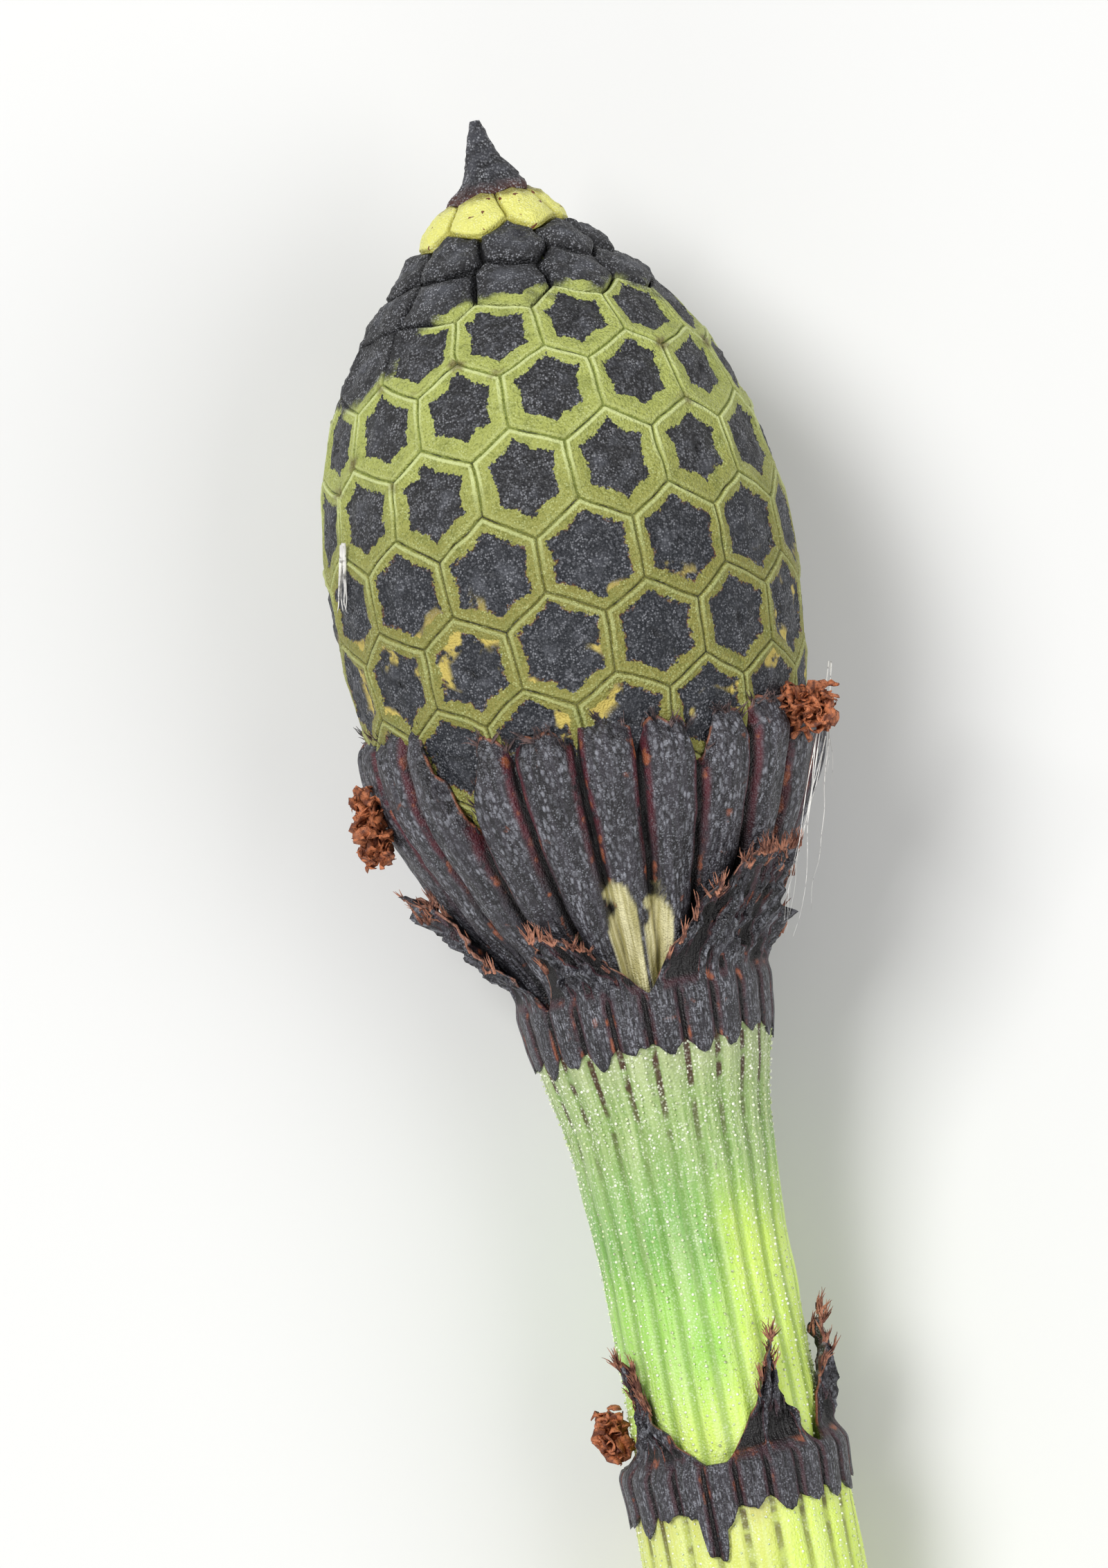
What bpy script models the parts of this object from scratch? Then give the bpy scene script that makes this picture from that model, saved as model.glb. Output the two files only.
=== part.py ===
"""The fertile tip of a horsetail shoot, cut and laid on its side.

Lengths are in millimetres. The shoot is described along its own axis: `depth` is the
distance below the very tip, and `turn` is the angle round the axis in degrees, with 0
facing up, 90 to the right and 180 on the surface that the shoot lies on. Every piece
hangs from one empty, which lays the whole shoot down.
"""

import math
import random

import bmesh
import bpy
import numpy as np
from mathutils import Vector, geometry

MM = 0.001
SHOOT_LENGTH = 30.0
RIBS = 22
COLUMNS_PER_RIB = 3
FIT_GAP = 0.1
WALL = 0.26
MERGE_DISTANCE = 0.002
SHARP_EDGE_DEGREES = 40.0
SEED = 7

# How the shoot lies: the cone's belly and the cut end both touch the surface.
BELLY_DEPTH = 7.2
BELLY_RADIUS = 3.73
CUT_END_RADIUS = 1.70
LEAN = math.atan((BELLY_RADIUS - CUT_END_RADIUS) / (SHOOT_LENGTH - BELLY_DEPTH))

# Outlines as (depth, radius), read along the axis.
CONE_OUTLINE = (
    (0.0, 0.08), (0.2, 0.16), (0.6, 0.28), (1.0, 0.51), (1.4, 0.82), (1.8, 1.20),
    (2.2, 1.56), (2.6, 1.92), (3.4, 2.62), (4.2, 3.10), (5.0, 3.40), (6.0, 3.64),
    (7.2, 3.77), (8.2, 3.72), (8.9, 3.58), (9.4, 3.27), (10.2, 2.98), (11.2, 2.55),
    (12.2, 1.95), (13.0, 1.30), (13.6, 0.80), (14.3, 0.78),
)
CUP_OUTLINE = (
    (9.0, 3.66), (10.0, 3.72), (10.8, 3.56), (11.4, 3.32), (12.0, 3.02),
    (12.8, 2.58), (13.3, 2.24), (13.8, 1.86), (14.3, 1.55),
)
UPPER_STEM_OUTLINE = (
    (14.9, 1.98), (15.4, 1.86), (16.2, 1.69), (17.0, 1.61), (18.0, 1.54),
    (20.0, 1.53), (21.4, 1.54),
)

# Whorls of shields as (depth, shields in the whorl, turn of one shield).
SHIELD_WHORLS = (
    (2.19, 9, 8.0), (2.80, 11, 1.0), (3.62, 13, -7.0), (4.70, 14, 6.0),
    (6.02, 15, -5.0), (7.35, 15, 7.0), (8.68, 15, -4.0), (10.0, 15, 9.0),
    (11.2, 15, -3.0),
)
CROWN_WHORL = (1.62, 7, -16.0)
BEAK_WHORL = (0.95, 7, 10.0)
HIDDEN_WHORL = (12.4, 15, 9.0)
WHORL_TILT = 0.07
SHIELD_JITTER = 0.05

# The relief of one shield, as (share of the way from its edge to its centre, height).
SHIELD_RELIEF = ((0.0, -0.13), (0.16, 0.0), (0.40, -0.03), (1.0, 0.01))
CROWN_RELIEF = ((0.0, -0.10), (0.22, 0.02), (0.55, 0.06), (1.0, 0.08))
OVERLAP_LIFT = 0.06
OVERLAP_ENDS = 3.3
OVERLAP_FADE = 0.5
OVERLAP_REACH = 0.3

# The solid stalk that the cone stands on, and the rings of the beak from foot to tip.
STALK_DEPTHS = (12.3, 13.0, 13.6, 14.3)
STALK_INSET = 0.13
BEAK_RING_SHARES = (0.35, 0.65, 0.85, 0.97)

# The cup sheath's rim dips to the right, and splits as (turn, depth, half width).
CUP_RIM = 9.86
CUP_RIM_TILT = 0.34
CUP_RIM_NOTCH = 0.08
CUP_SPLITS = (
    (-40.0, 11.2, 12.0), (28.0, 10.95, 7.0), (118.0, 10.8, 8.0), (-150.0, 10.9, 9.0),
)
CUP_FOOT = 14.3
CUP_PHASE = -6.5
CUP_RIB_HEIGHT = 0.13
CUP_FOOT_WALL = 0.2
CUP_WALL_GROWS = (11.0, 13.0)

# Torn teeth as (left foot, apex, right foot, depth of the apex), in turns.
SHOULDER_TEETH = (
    (-34.0, -22.0, 1.0, 13.25), (-112.0, -82.0, -42.0, 12.25), (8.0, 58.0, 98.0, 12.45),
    (100.0, 122.0, 146.0, 13.0), (150.0, 172.0, 196.0, 13.2), (-162.0, -138.0, -116.0, 12.9),
)
SHOULDER_RIM = 14.35
SHOULDER_FOOT = 14.95
SHOULDER_PHASE = -1.0
SHOULDER_BAND_TOP = 14.2
SHOULDER_BAND_RADIUS = 1.96
SHOULDER_FLARE_RADIUS = 2.05
SHOULDER_RIB_HEIGHT = 0.1
NODE_TEETH = (
    (-6.0, 27.0, 48.0, 20.0), (-74.0, -52.0, -12.0, 20.1), (58.0, 80.0, 104.0, 19.9),
    (112.0, 132.0, 158.0, 20.4), (-164.0, -138.0, -112.0, 20.5),
)
NODE_RIM = 21.75
NODE_FOOT = 22.45
NODE_BAND_RADIUS = 1.78
NODE_SEAT_SPAN = (21.2, 21.6)
BAND_RIB_HEIGHT = 0.06
TOOTH_TAPER = 1.25

# The two internodes: each has a canal, and a spigot carries the sheath above it.
STEM_PHASE = -1.0
STEM_RIB_HEIGHT = 0.10
UPPER_TOP = 14.45
UPPER_SEAT_RADIUS = 1.60
UPPER_RING_DEPTHS = (15.05, 15.5, 16.2, 17.0, 18.2, 19.8, 21.1)
UPPER_SPIGOT = (21.3, 21.9)
UPPER_CANAL_END = 15.4
SPIGOT_RADIUS = 1.40
CANAL_RADIUS = 1.0
LOWER_STEM_RADIUS = 1.76
LOWER_TOP = 22.0
LOWER_RING_DEPTHS = (24.3, 26.2, 28.1, SHOOT_LENGTH)
LOWER_CANAL_RADIUS = 1.15
LOWER_CANAL_END = 22.6

# Withered tips of the teeth as (turn, depth, radius, length along the shoot, leaves).
WITHERED_TIPS = {
    "withered_tip_right": (80.0, 9.95, 4.02, 1.2, 16),
    "withered_tip_left": (-84.0, 10.75, 3.94, 1.5, 16),
    "withered_tip_node": (-97.0, 21.1, 2.14, 1.0, 12),
}
CORE_HALF_WIDTHS = (0.18, 0.24)
CORE_HALF_SHARE = 0.42
LEAF_SPREAD = 0.7
LEAF_FAN = 1.8
LEAF_REACH = (0.36, 0.50)
LEAF_BEND = 0.05
LEAF_WIDTH = (0.20, 0.30)
LEAF_THICKNESS = 0.13
LEAF_TAPER = 0.55
LEAF_RING_SHARES = (0.0, 0.4, 0.75, 1.0)


def smooth_curve(points):
    """A function that runs smoothly through the given (position, value) points."""
    at, value = (np.array(column, float) for column in zip(*points))
    slope = np.gradient(value, at)

    def curve(position):
        position = np.clip(np.asarray(position, float), at[0], at[-1])
        i = np.clip(np.searchsorted(at, position, side="right") - 1, 0, len(at) - 2)
        width = at[i + 1] - at[i]
        t = (position - at[i]) / width
        return (
            value[i] * (1 + 2 * t) * (1 - t) ** 2
            + slope[i] * width * t * (1 - t) ** 2
            + value[i + 1] * t * t * (3 - 2 * t)
            + slope[i + 1] * width * t * t * (t - 1)
        )

    return curve


cone_radius = smooth_curve(CONE_OUTLINE)
cup_radius = smooth_curve(CUP_OUTLINE)
upper_stem_radius = smooth_curve(UPPER_STEM_OUTLINE)


def surface_limit(depth, turn):
    """How far from the axis the surface under the shoot lies, in that direction."""
    straight_down = CUT_END_RADIUS + (SHOOT_LENGTH - np.asarray(depth)) * math.tan(LEAN)
    downward = np.maximum(-np.cos(np.radians(turn)), 1e-3)
    return straight_down / downward


def place(depth, turn, radius):
    """The point at that depth, turn and radius, as an array with x, y, z last."""
    depth, turn, radius = np.broadcast_arrays(depth, np.radians(turn), radius)
    return np.stack(
        [radius * np.sin(turn), SHOOT_LENGTH / 2 - depth, radius * np.cos(turn)], axis=-1
    )


def on_axis(depth):
    """The point of the axis at that depth."""
    return place(depth, 0.0, 0.0)


def rib_shape(turn, phase):
    """0 in the groove between two ribs, and near 1 on both shoulders of a rib."""
    return 1 - np.abs(np.cos(np.radians(np.asarray(turn) - phase) * RIBS / 2)) ** 4


def rib_turns(phase):
    """The turns of a ring's columns: one in each groove and the rest over the rib."""
    columns = RIBS * COLUMNS_PER_RIB
    return phase + np.arange(columns) * 360.0 / columns


def away(turn, centre):
    """The signed angle from centre to turn, within half a turn."""
    return (np.asarray(turn, float) - centre + 180.0) % 360.0 - 180.0


def teeth_rim(turn, rim, teeth):
    """The depth of a torn rim whose teeth stand up from its own level."""
    depth = np.full(np.shape(turn), float(rim))
    for left, apex, right, top in teeth:
        offset = away(turn, apex)
        reach = np.where(offset < 0, apex - left, right - apex)
        rise = np.clip(1 - np.abs(offset) / reach, 0, 1) ** TOOTH_TAPER
        depth = np.minimum(depth, rim - (rim - top) * rise)
    return depth


def cup_rim(turn):
    """The depth of the cup sheath's rim, with the splits between its segments."""
    depth = CUP_RIM + CUP_RIM_TILT * np.sin(np.radians(turn))
    depth = depth + CUP_RIM_NOTCH * (1 - rib_shape(turn, CUP_PHASE))
    for centre, bottom, half_width in CUP_SPLITS:
        open_share = np.clip(1 - np.abs(away(turn, centre)) / half_width, 0, 1)
        depth = depth + (bottom - depth) * open_share
    return depth


def cup_outer(depth, turn):
    """The cup sheath's ribbed outside, pressed flat where the shoot lies on it."""
    ribbed = cup_radius(depth) - CUP_RIB_HEIGHT * (1 - rib_shape(turn, CUP_PHASE))
    return np.minimum(ribbed, surface_limit(depth, turn))


def new_material(name, colour, roughness):
    """A plain material with that colour and roughness."""
    material = bpy.data.materials.new(name)
    material.use_nodes = True
    shader = material.node_tree.nodes["Principled BSDF"]
    shader.inputs["Base Color"].default_value = (*colour, 1.0)
    shader.inputs["Roughness"].default_value = roughness
    material.diffuse_color = (*colour, 1.0)
    return material


def add_piece(name, vertices, faces, parent, material):
    """One named object from points in millimetres and faces."""
    mesh = bpy.data.meshes.new(name)
    mesh.from_pydata([Vector(p) * MM for p in vertices], [], faces)
    shape = bmesh.new()
    shape.from_mesh(mesh)
    bmesh.ops.remove_doubles(shape, verts=shape.verts, dist=MERGE_DISTANCE * MM)
    bmesh.ops.recalc_face_normals(shape, faces=shape.faces)
    shape.to_mesh(mesh)
    shape.free()
    mesh.shade_smooth()
    mesh.set_sharp_from_angle(angle=math.radians(SHARP_EDGE_DEGREES))
    mesh.materials.append(material)
    piece = bpy.data.objects.new(name, mesh)
    bpy.context.scene.collection.objects.link(piece)
    piece.parent = parent
    return piece


def ring_faces(first, second, count):
    """Faces between two rings of points, given by the number of each ring's first one."""
    return [
        (first + k, first + (k + 1) % count, second + (k + 1) % count, second + k)
        for k in range(count)
    ]


def fan_faces(first, centre, count):
    """Faces from a ring of points to one point."""
    return [(first + k, first + (k + 1) % count, centre) for k in range(count)]


def loft(rings, start=None, end=None):
    """A closed skin over rings of equally many points. With no start and end point the
    last ring joins the first one, as on a sheath with an inside and an outside."""
    count = len(rings[0])
    vertices = [point for ring in rings for point in np.asarray(ring, float)]
    faces = []
    for i in range(len(rings) if start is None else len(rings) - 1):
        faces += ring_faces(i * count, (i + 1) % len(rings) * count, count)
    for point, first in ((start, 0), (end, (len(rings) - 1) * count)):
        if point is not None:
            vertices.append(np.asarray(point, float))
            faces += fan_faces(first, len(vertices) - 1, count)
    return vertices, faces


def shield_centres(whorls):
    """Each shield's (turn, depth), whorl by whorl, a little out of true."""
    draw = random.Random(SEED)
    centres = []
    for depth, count, phase in whorls:
        for k in range(count):
            turn = phase + k * 360.0 / count
            tilt = -WHORL_TILT * math.sin(math.radians(turn))
            slip = draw.uniform(-SHIELD_JITTER, SHIELD_JITTER)
            swing = draw.uniform(-SHIELD_JITTER, SHIELD_JITTER) / BELLY_RADIUS
            centres.append((turn + math.degrees(swing), depth + tilt + slip))
    return centres


def unrolled_depths():
    """Depths, and how far along a plan of the cone that keeps its angles each one is."""
    depth = np.linspace(CONE_OUTLINE[0][0], CONE_OUTLINE[-1][0], 1500)
    radius = cone_radius(depth)
    slant = np.hypot(1.0, np.gradient(radius, depth))
    steps = np.diff(depth) * (slant[1:] / radius[1:] + slant[:-1] / radius[:-1]) / 2
    return depth, np.concatenate([[0.0], np.cumsum(steps)])


def circle_centre(a, b, c):
    """The centre of the circle through three points, or None if they lie in a line."""
    ab, ac = b - a, c - a
    cross = 2 * (ab.x * ac.y - ab.y * ac.x)
    if abs(cross) < 1e-9:
        return None
    x = ac.y * ab.length_squared - ab.y * ac.length_squared
    y = ab.x * ac.length_squared - ac.x * ab.length_squared
    return a + Vector((x, y)) / cross


def shield_outlines(centres):
    """The outline of each shield as (turn, depth) corners: the places that are nearer
    to its centre than to any other, found from the triangles between centres."""
    depths, plan = unrolled_depths()
    points = []
    for lap in (-1, 0, 1):
        for turn, depth in centres:
            across = math.radians(away(turn, 0.0)) + lap * math.tau
            points.append(Vector((across, float(np.interp(depth, depths, plan)))))
    triangles = geometry.delaunay_2d_cdt(points, [], [], 0, 1e-9)[2]
    around = [[] for _ in points]
    for triangle in triangles:
        corner = circle_centre(*(points[i] for i in triangle))
        if corner is not None:
            for i in triangle:
                around[i].append(corner)
    outlines = []
    middle_lap = range(len(centres), 2 * len(centres))
    for i in middle_lap:
        corners = sorted(around[i], key=lambda p: math.atan2(*(p - points[i]).yx))
        outlines.append(
            [(math.degrees(p.x), float(np.interp(p.y, plan, depths))) for p in corners]
        )
    return outlines


def shield_point(turn, depth, height):
    """A point that stands that high off the cone, but never below the surface."""
    slope = (cone_radius(depth + 0.05) - cone_radius(depth - 0.05)) / 0.1
    lean = math.atan(slope)
    radius = cone_radius(depth) + height * math.cos(lean)
    radius = min(radius, float(surface_limit(depth, turn)))
    return place(depth - height * math.sin(lean), turn, radius)


def shield_web(centres, outlines, relief, overlap_ends):
    """Vertices and faces of shields that share their edges, each with its relief."""
    vertices, faces = [], []
    for (turn, depth), outline in zip(centres, outlines):
        turn = outline[0][0] + away(turn, outline[0][0])
        overlap = OVERLAP_LIFT * np.clip((overlap_ends - depth) / OVERLAP_FADE, 0, 1)
        first, count = len(vertices), len(outline)
        for share, height in relief[:-1]:
            for corner_turn, corner_depth in outline:
                at_depth = corner_depth + (depth - corner_depth) * share
                at_turn = corner_turn + (turn - corner_turn) * share
                drop = np.clip((at_depth - depth) / OVERLAP_REACH, -1, 1) * (share > 0)
                vertices.append(shield_point(at_turn, at_depth, height + overlap * drop))
        vertices.append(shield_point(turn, depth, relief[-1][1]))
        for ring in range(len(relief) - 2):
            faces += ring_faces(first + ring * count, first + (ring + 1) * count, count)
        faces += fan_faces(first + (len(relief) - 2) * count, len(vertices) - 1, count)
    return vertices, faces


def web_rims(vertices, faces):
    """The web's two open edges as lists of vertex numbers in turn order, top first."""
    keys = {}
    same = [
        keys.setdefault(tuple(np.round(np.asarray(p) / MERGE_DISTANCE).astype(int)), i)
        for i, p in enumerate(vertices)
    ]
    uses = {}
    for face in faces:
        for a, b in zip(face, face[1:] + face[:1]):
            edge = tuple(sorted((same[a], same[b])))
            uses[edge] = uses.get(edge, 0) + 1
    on_edge = {i for edge, count in uses.items() if count == 1 for i in edge}
    on_edge = sorted(on_edge, key=lambda i: math.atan2(vertices[i][0], vertices[i][2]))
    middle = np.mean([vertices[i][1] for i in on_edge])
    top = [i for i in on_edge if vertices[i][1] > middle]
    bottom = [i for i in on_edge if vertices[i][1] <= middle]
    return top, bottom


def close_web(vertices, faces, rim, rings, end):
    """Closes one open edge of a web through rings of points down to an end point."""
    vertices, faces = list(vertices), list(faces)
    count = len(rim)
    previous = len(vertices)
    vertices += [vertices[i] for i in rim]
    for ring in rings:
        faces += ring_faces(previous, len(vertices), count)
        previous = len(vertices)
        vertices += list(ring)
    vertices.append(np.asarray(end, float))
    faces += fan_faces(previous, len(vertices) - 1, count)
    return vertices, faces


def turns_of(points):
    """The turn of each point round the axis, in degrees."""
    return np.degrees(np.arctan2([p[0] for p in points], [p[2] for p in points]))


def mean_depth(points):
    """The mean depth of some points."""
    return SHOOT_LENGTH / 2 - np.mean([p[1] for p in points])


def build_cone(parent, material):
    """The cone, its crown whorl and its beak, each ending where the next one starts."""
    centres = shield_centres((BEAK_WHORL, CROWN_WHORL, *SHIELD_WHORLS, HIDDEN_WHORL))
    outlines = shield_outlines(centres)
    crown_from = BEAK_WHORL[1]
    cone_from = crown_from + CROWN_WHORL[1]
    cone_to = len(centres) - HIDDEN_WHORL[1]

    web = shield_web(
        centres[cone_from:cone_to], outlines[cone_from:cone_to], SHIELD_RELIEF, OVERLAP_ENDS
    )
    top, bottom = web_rims(*web)
    top_depth = mean_depth([web[0][i] for i in top])
    foot_turns = turns_of([web[0][i] for i in bottom])
    stalk = [place(d, foot_turns, cone_radius(d) - STALK_INSET) for d in STALK_DEPTHS]
    web = close_web(*web, bottom, stalk, on_axis(STALK_DEPTHS[-1]))
    web = close_web(*web, top, [], on_axis(top_depth))
    add_piece("cone", *web, parent, material["cone"])

    web = shield_web(
        centres[crown_from:cone_from], outlines[crown_from:cone_from], CROWN_RELIEF, 0.0
    )
    top, bottom = web_rims(*web)
    lift = np.array([0.0, FIT_GAP, 0.0])
    crown_top = [np.array(web[0][i]) for i in top]
    web = close_web(*web, bottom, [], on_axis(top_depth))
    web = close_web(*web, top, [], on_axis(mean_depth(crown_top)))
    lifted = [np.array(p) + lift for p in web[0]]
    add_piece("crown_whorl", lifted, web[1], parent, material["crown"])
    build_beak(crown_top, 2 * FIT_GAP, parent, material)


def build_beak(crown_top, lift, parent, material):
    """The beak, whose foot follows the crown's upper edge at that height above it."""
    foot = np.array(crown_top) + np.array([0.0, lift, 0.0])
    turns = turns_of(crown_top)
    foot_depth = mean_depth(crown_top) - lift
    rings = [foot]
    for share in BEAK_RING_SHARES:
        depth = foot_depth * (1 - share)
        ring = place(depth, turns, cone_radius(depth))
        loose = (1 - share) ** 3
        rings.append(ring * (1 - loose) + (foot * (1 - share) + ring * share) * loose)
    beak = loft(rings, start=on_axis(foot_depth), end=on_axis(0.0))
    add_piece("beak", *beak, parent, material["beak"])


def sheath(turns, rim, foot, outer, inner, rows):
    """A closed sheath wall: rings up its outside to the rim, and down its inside."""
    outside = [foot + (rim - foot) * t for t in np.linspace(0, 1, rows)]
    inside = [foot + (rim - foot) * t for t in np.linspace(1, 0, rows // 2 + 1)]
    rings = [place(depth, turns, outer(depth)) for depth in outside]
    rings += [place(depth, turns, inner(depth)) for depth in inside]
    return loft(rings)


def build_cup_sheath(parent, material):
    """The cup of ribbed segments that the cone sits in."""
    turns = rib_turns(CUP_PHASE)

    def inner(depth):
        wall = WALL + np.interp(depth, CUP_WALL_GROWS, (0.0, CUP_FOOT_WALL))
        under_ribs = cup_radius(depth) - CUP_RIB_HEIGHT - WALL
        return np.minimum(cup_outer(depth, turns) - wall, under_ribs)

    def outer(depth):
        return cup_outer(depth, turns)

    wall = sheath(turns, cup_rim(turns), CUP_FOOT, outer, inner, 8)
    add_piece("cup_sheath", *wall, parent, material["sheath"])


def build_shoulder_sheath(parent, material):
    """The short sheath below the cup, with its torn teeth splayed round the cup."""
    turns = rib_turns(SHOULDER_PHASE)
    ribs = rib_shape(turns, SHOULDER_PHASE)
    rim = teeth_rim(turns, SHOULDER_RIM, SHOULDER_TEETH)
    seat = UPPER_SEAT_RADIUS + FIT_GAP

    def inner(depth):
        beside_cup = cup_radius(np.minimum(depth, CUP_FOOT)) + FIT_GAP
        below_cup = depth >= CUP_FOOT + FIT_GAP / 2
        return np.where(below_cup, seat, np.maximum(beside_cup, seat))

    def outer(depth):
        flare = inner(depth) + WALL + SHOULDER_RIB_HEIGHT * ribs
        flare = np.maximum(flare, SHOULDER_FLARE_RADIUS)
        band = SHOULDER_BAND_RADIUS + BAND_RIB_HEIGHT * ribs
        return np.where(depth > SHOULDER_BAND_TOP, band, flare)

    wall = sheath(turns, rim, SHOULDER_FOOT, outer, inner, 7)
    add_piece("shoulder_sheath", *wall, parent, material["sheath"])


def build_node_sheath(parent, material):
    """The sheath at the lower node, a black band with withered teeth on the stem."""
    turns = rib_turns(STEM_PHASE)
    ribs = rib_shape(turns, STEM_PHASE)
    rim = teeth_rim(turns, NODE_RIM, NODE_TEETH)
    seat = SPIGOT_RADIUS + FIT_GAP

    def inner(depth):
        beside_stem = upper_stem_radius(depth) + FIT_GAP
        return seat + (beside_stem - seat) * np.interp(depth, NODE_SEAT_SPAN, (1.0, 0.0))

    def outer(depth):
        return np.maximum(NODE_BAND_RADIUS + BAND_RIB_HEIGHT * ribs, inner(depth) + WALL)

    wall = sheath(turns, rim, NODE_FOOT, outer, inner, 7)
    add_piece("node_sheath", *wall, parent, material["sheath"])


def round_ring(depth, radius):
    """One ring of a plain round part of the stem."""
    return place(depth, rib_turns(STEM_PHASE), radius)


def ribbed_ring(depth, radius):
    """One ring of a ribbed stem, flat where it lies on the surface."""
    turns = rib_turns(STEM_PHASE)
    ribbed = radius - STEM_RIB_HEIGHT * (1 - rib_shape(turns, STEM_PHASE))
    return place(depth, turns, np.minimum(ribbed, surface_limit(depth, turns)))


def build_stems(parent, material):
    """The two internodes, each with the canal that runs up its middle."""
    shoulder = UPPER_RING_DEPTHS[0]
    rings = [round_ring(d, UPPER_SEAT_RADIUS) for d in (UPPER_TOP, shoulder)]
    rings += [ribbed_ring(d, upper_stem_radius(d)) for d in UPPER_RING_DEPTHS]
    rings += [round_ring(d, SPIGOT_RADIUS) for d in UPPER_SPIGOT]
    rings += [round_ring(d, CANAL_RADIUS) for d in (UPPER_SPIGOT[1], UPPER_CANAL_END)]
    upper = loft(rings, start=on_axis(UPPER_TOP), end=on_axis(UPPER_CANAL_END))
    add_piece("upper_internode", *upper, parent, material["upper_stem"])

    shoulder = NODE_FOOT + FIT_GAP
    rings = [round_ring(d, SPIGOT_RADIUS) for d in (LOWER_TOP, shoulder)]
    rings += [ribbed_ring(d, LOWER_STEM_RADIUS) for d in (shoulder, *LOWER_RING_DEPTHS)]
    rings += [round_ring(d, LOWER_CANAL_RADIUS) for d in (SHOOT_LENGTH, LOWER_CANAL_END)]
    lower = loft(rings, start=on_axis(LOWER_TOP), end=on_axis(LOWER_CANAL_END))
    add_piece("lower_internode", *lower, parent, material["lower_stem"])


def unit(vector):
    """The same direction with length 1."""
    return vector / max(np.linalg.norm(vector), 1e-6)


def curled_leaf(root, tip, bend, width, spin):
    """A four-sided strip that curls from root to tip and narrows on the way."""
    up = unit(bend)
    side = unit(np.cross(tip - root, bend))
    across = side * math.cos(spin) + up * math.sin(spin)
    along = unit(np.cross(across, tip - root))
    rings = []
    for t in LEAF_RING_SHARES:
        centre = root + (tip - root) * t + bend * 4 * t * (1 - t)
        taper = (1 - LEAF_TAPER * t) / 2
        a, b = across * width * taper, along * LEAF_THICKNESS * taper
        rings.append([centre - a - b, centre + a - b, centre + a + b, centre - a + b])
    start, end = ((ring[0] + ring[2]) / 2 for ring in (rings[0], rings[-1]))
    return loft(rings, start=start, end=end)


def egg(centre, half_sizes):
    """Vertices and faces of a faceted egg round that centre."""
    ball = bmesh.new()
    bmesh.ops.create_icosphere(ball, subdivisions=1, radius=1.0)
    ball.verts.index_update()
    vertices = [centre + np.array(v.co) * half_sizes for v in ball.verts]
    faces = [tuple(v.index for v in face.verts) for face in ball.faces]
    ball.free()
    return vertices, faces


def withered_bodies(draw, turn, depth, radius, length, leaves):
    """The closed bodies of one withered tip: an egg-shaped core and leaves round it."""
    centre = place(depth, turn, radius)
    out = place(0.0, turn, 1.0) - on_axis(0.0)
    along_shoot = np.array([0.0, 1.0, 0.0])
    sideways = np.cross(out, along_shoot)
    wide, high = CORE_HALF_WIDTHS
    bodies = [egg(centre, np.array([wide, length * CORE_HALF_SHARE, high]))]
    for leaf in range(leaves):
        along = (leaf + 0.5) / leaves - 0.5
        root = centre + along_shoot * along * length * LEAF_SPREAD
        fan = draw.uniform(-LEAF_FAN, LEAF_FAN)
        reach = draw.uniform(*LEAF_REACH) * (1.0 - 0.4 * abs(along))
        tip = root + out * reach * math.cos(fan) * LEAF_SPREAD
        tip = tip + sideways * reach * math.sin(fan)
        tip = tip + along_shoot * along * length * draw.uniform(0.3, 0.7)
        bend = np.array([draw.uniform(-LEAF_BEND, LEAF_BEND) for _ in range(3)])
        width = draw.uniform(*LEAF_WIDTH)
        bodies.append(curled_leaf(root, tip, bend, width, draw.uniform(0, math.pi)))
    return bodies


def join_bodies(name, bodies, parent, material):
    """One object that is the union of closed bodies given as (vertices, faces)."""
    piece = add_piece(name, *bodies[0], parent, material)
    others = bpy.data.collections.new(name + "_leaves")
    bpy.context.scene.collection.children.link(others)
    for number, body in enumerate(bodies[1:]):
        leaf = add_piece(f"{name}_leaf_{number}", *body, None, material)
        bpy.context.scene.collection.objects.unlink(leaf)
        others.objects.link(leaf)
    union = piece.modifiers.new("leaves", "BOOLEAN")
    union.operation = "UNION"
    union.operand_type = "COLLECTION"
    union.collection = others
    union.solver = "EXACT"
    graph = bpy.context.evaluated_depsgraph_get()
    joined = bpy.data.meshes.new_from_object(piece.evaluated_get(graph))
    piece.modifiers.clear()
    piece.data = joined
    for leaf in list(others.objects):
        bpy.data.objects.remove(leaf)
    bpy.data.collections.remove(others)


def build_withered_tips(parent, material):
    """The brown shreds left of the teeth, each a bunch of curled leaves on a core."""
    for number, (name, sizes) in enumerate(WITHERED_TIPS.items()):
        bodies = withered_bodies(random.Random(SEED + number), *sizes)
        join_bodies(name, bodies, parent, material["withered"])


def lay_down(parent):
    """Lays the shoot on the surface, with the middle of its box over the origin."""
    parent.rotation_euler = (LEAN, 0.0, 0.0)
    middle_height = CUT_END_RADIUS * math.cos(LEAN) + SHOOT_LENGTH / 2 * math.sin(LEAN)
    parent.location = (0.0, 0.0, middle_height * MM)
    bpy.context.view_layer.update()
    corners = np.array(
        [piece.matrix_world @ v.co for piece in parent.children for v in piece.data.vertices]
    )
    middle = (corners.min(axis=0) + corners.max(axis=0)) / 2
    parent.location.x -= middle[0]
    parent.location.y -= middle[1]


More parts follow.
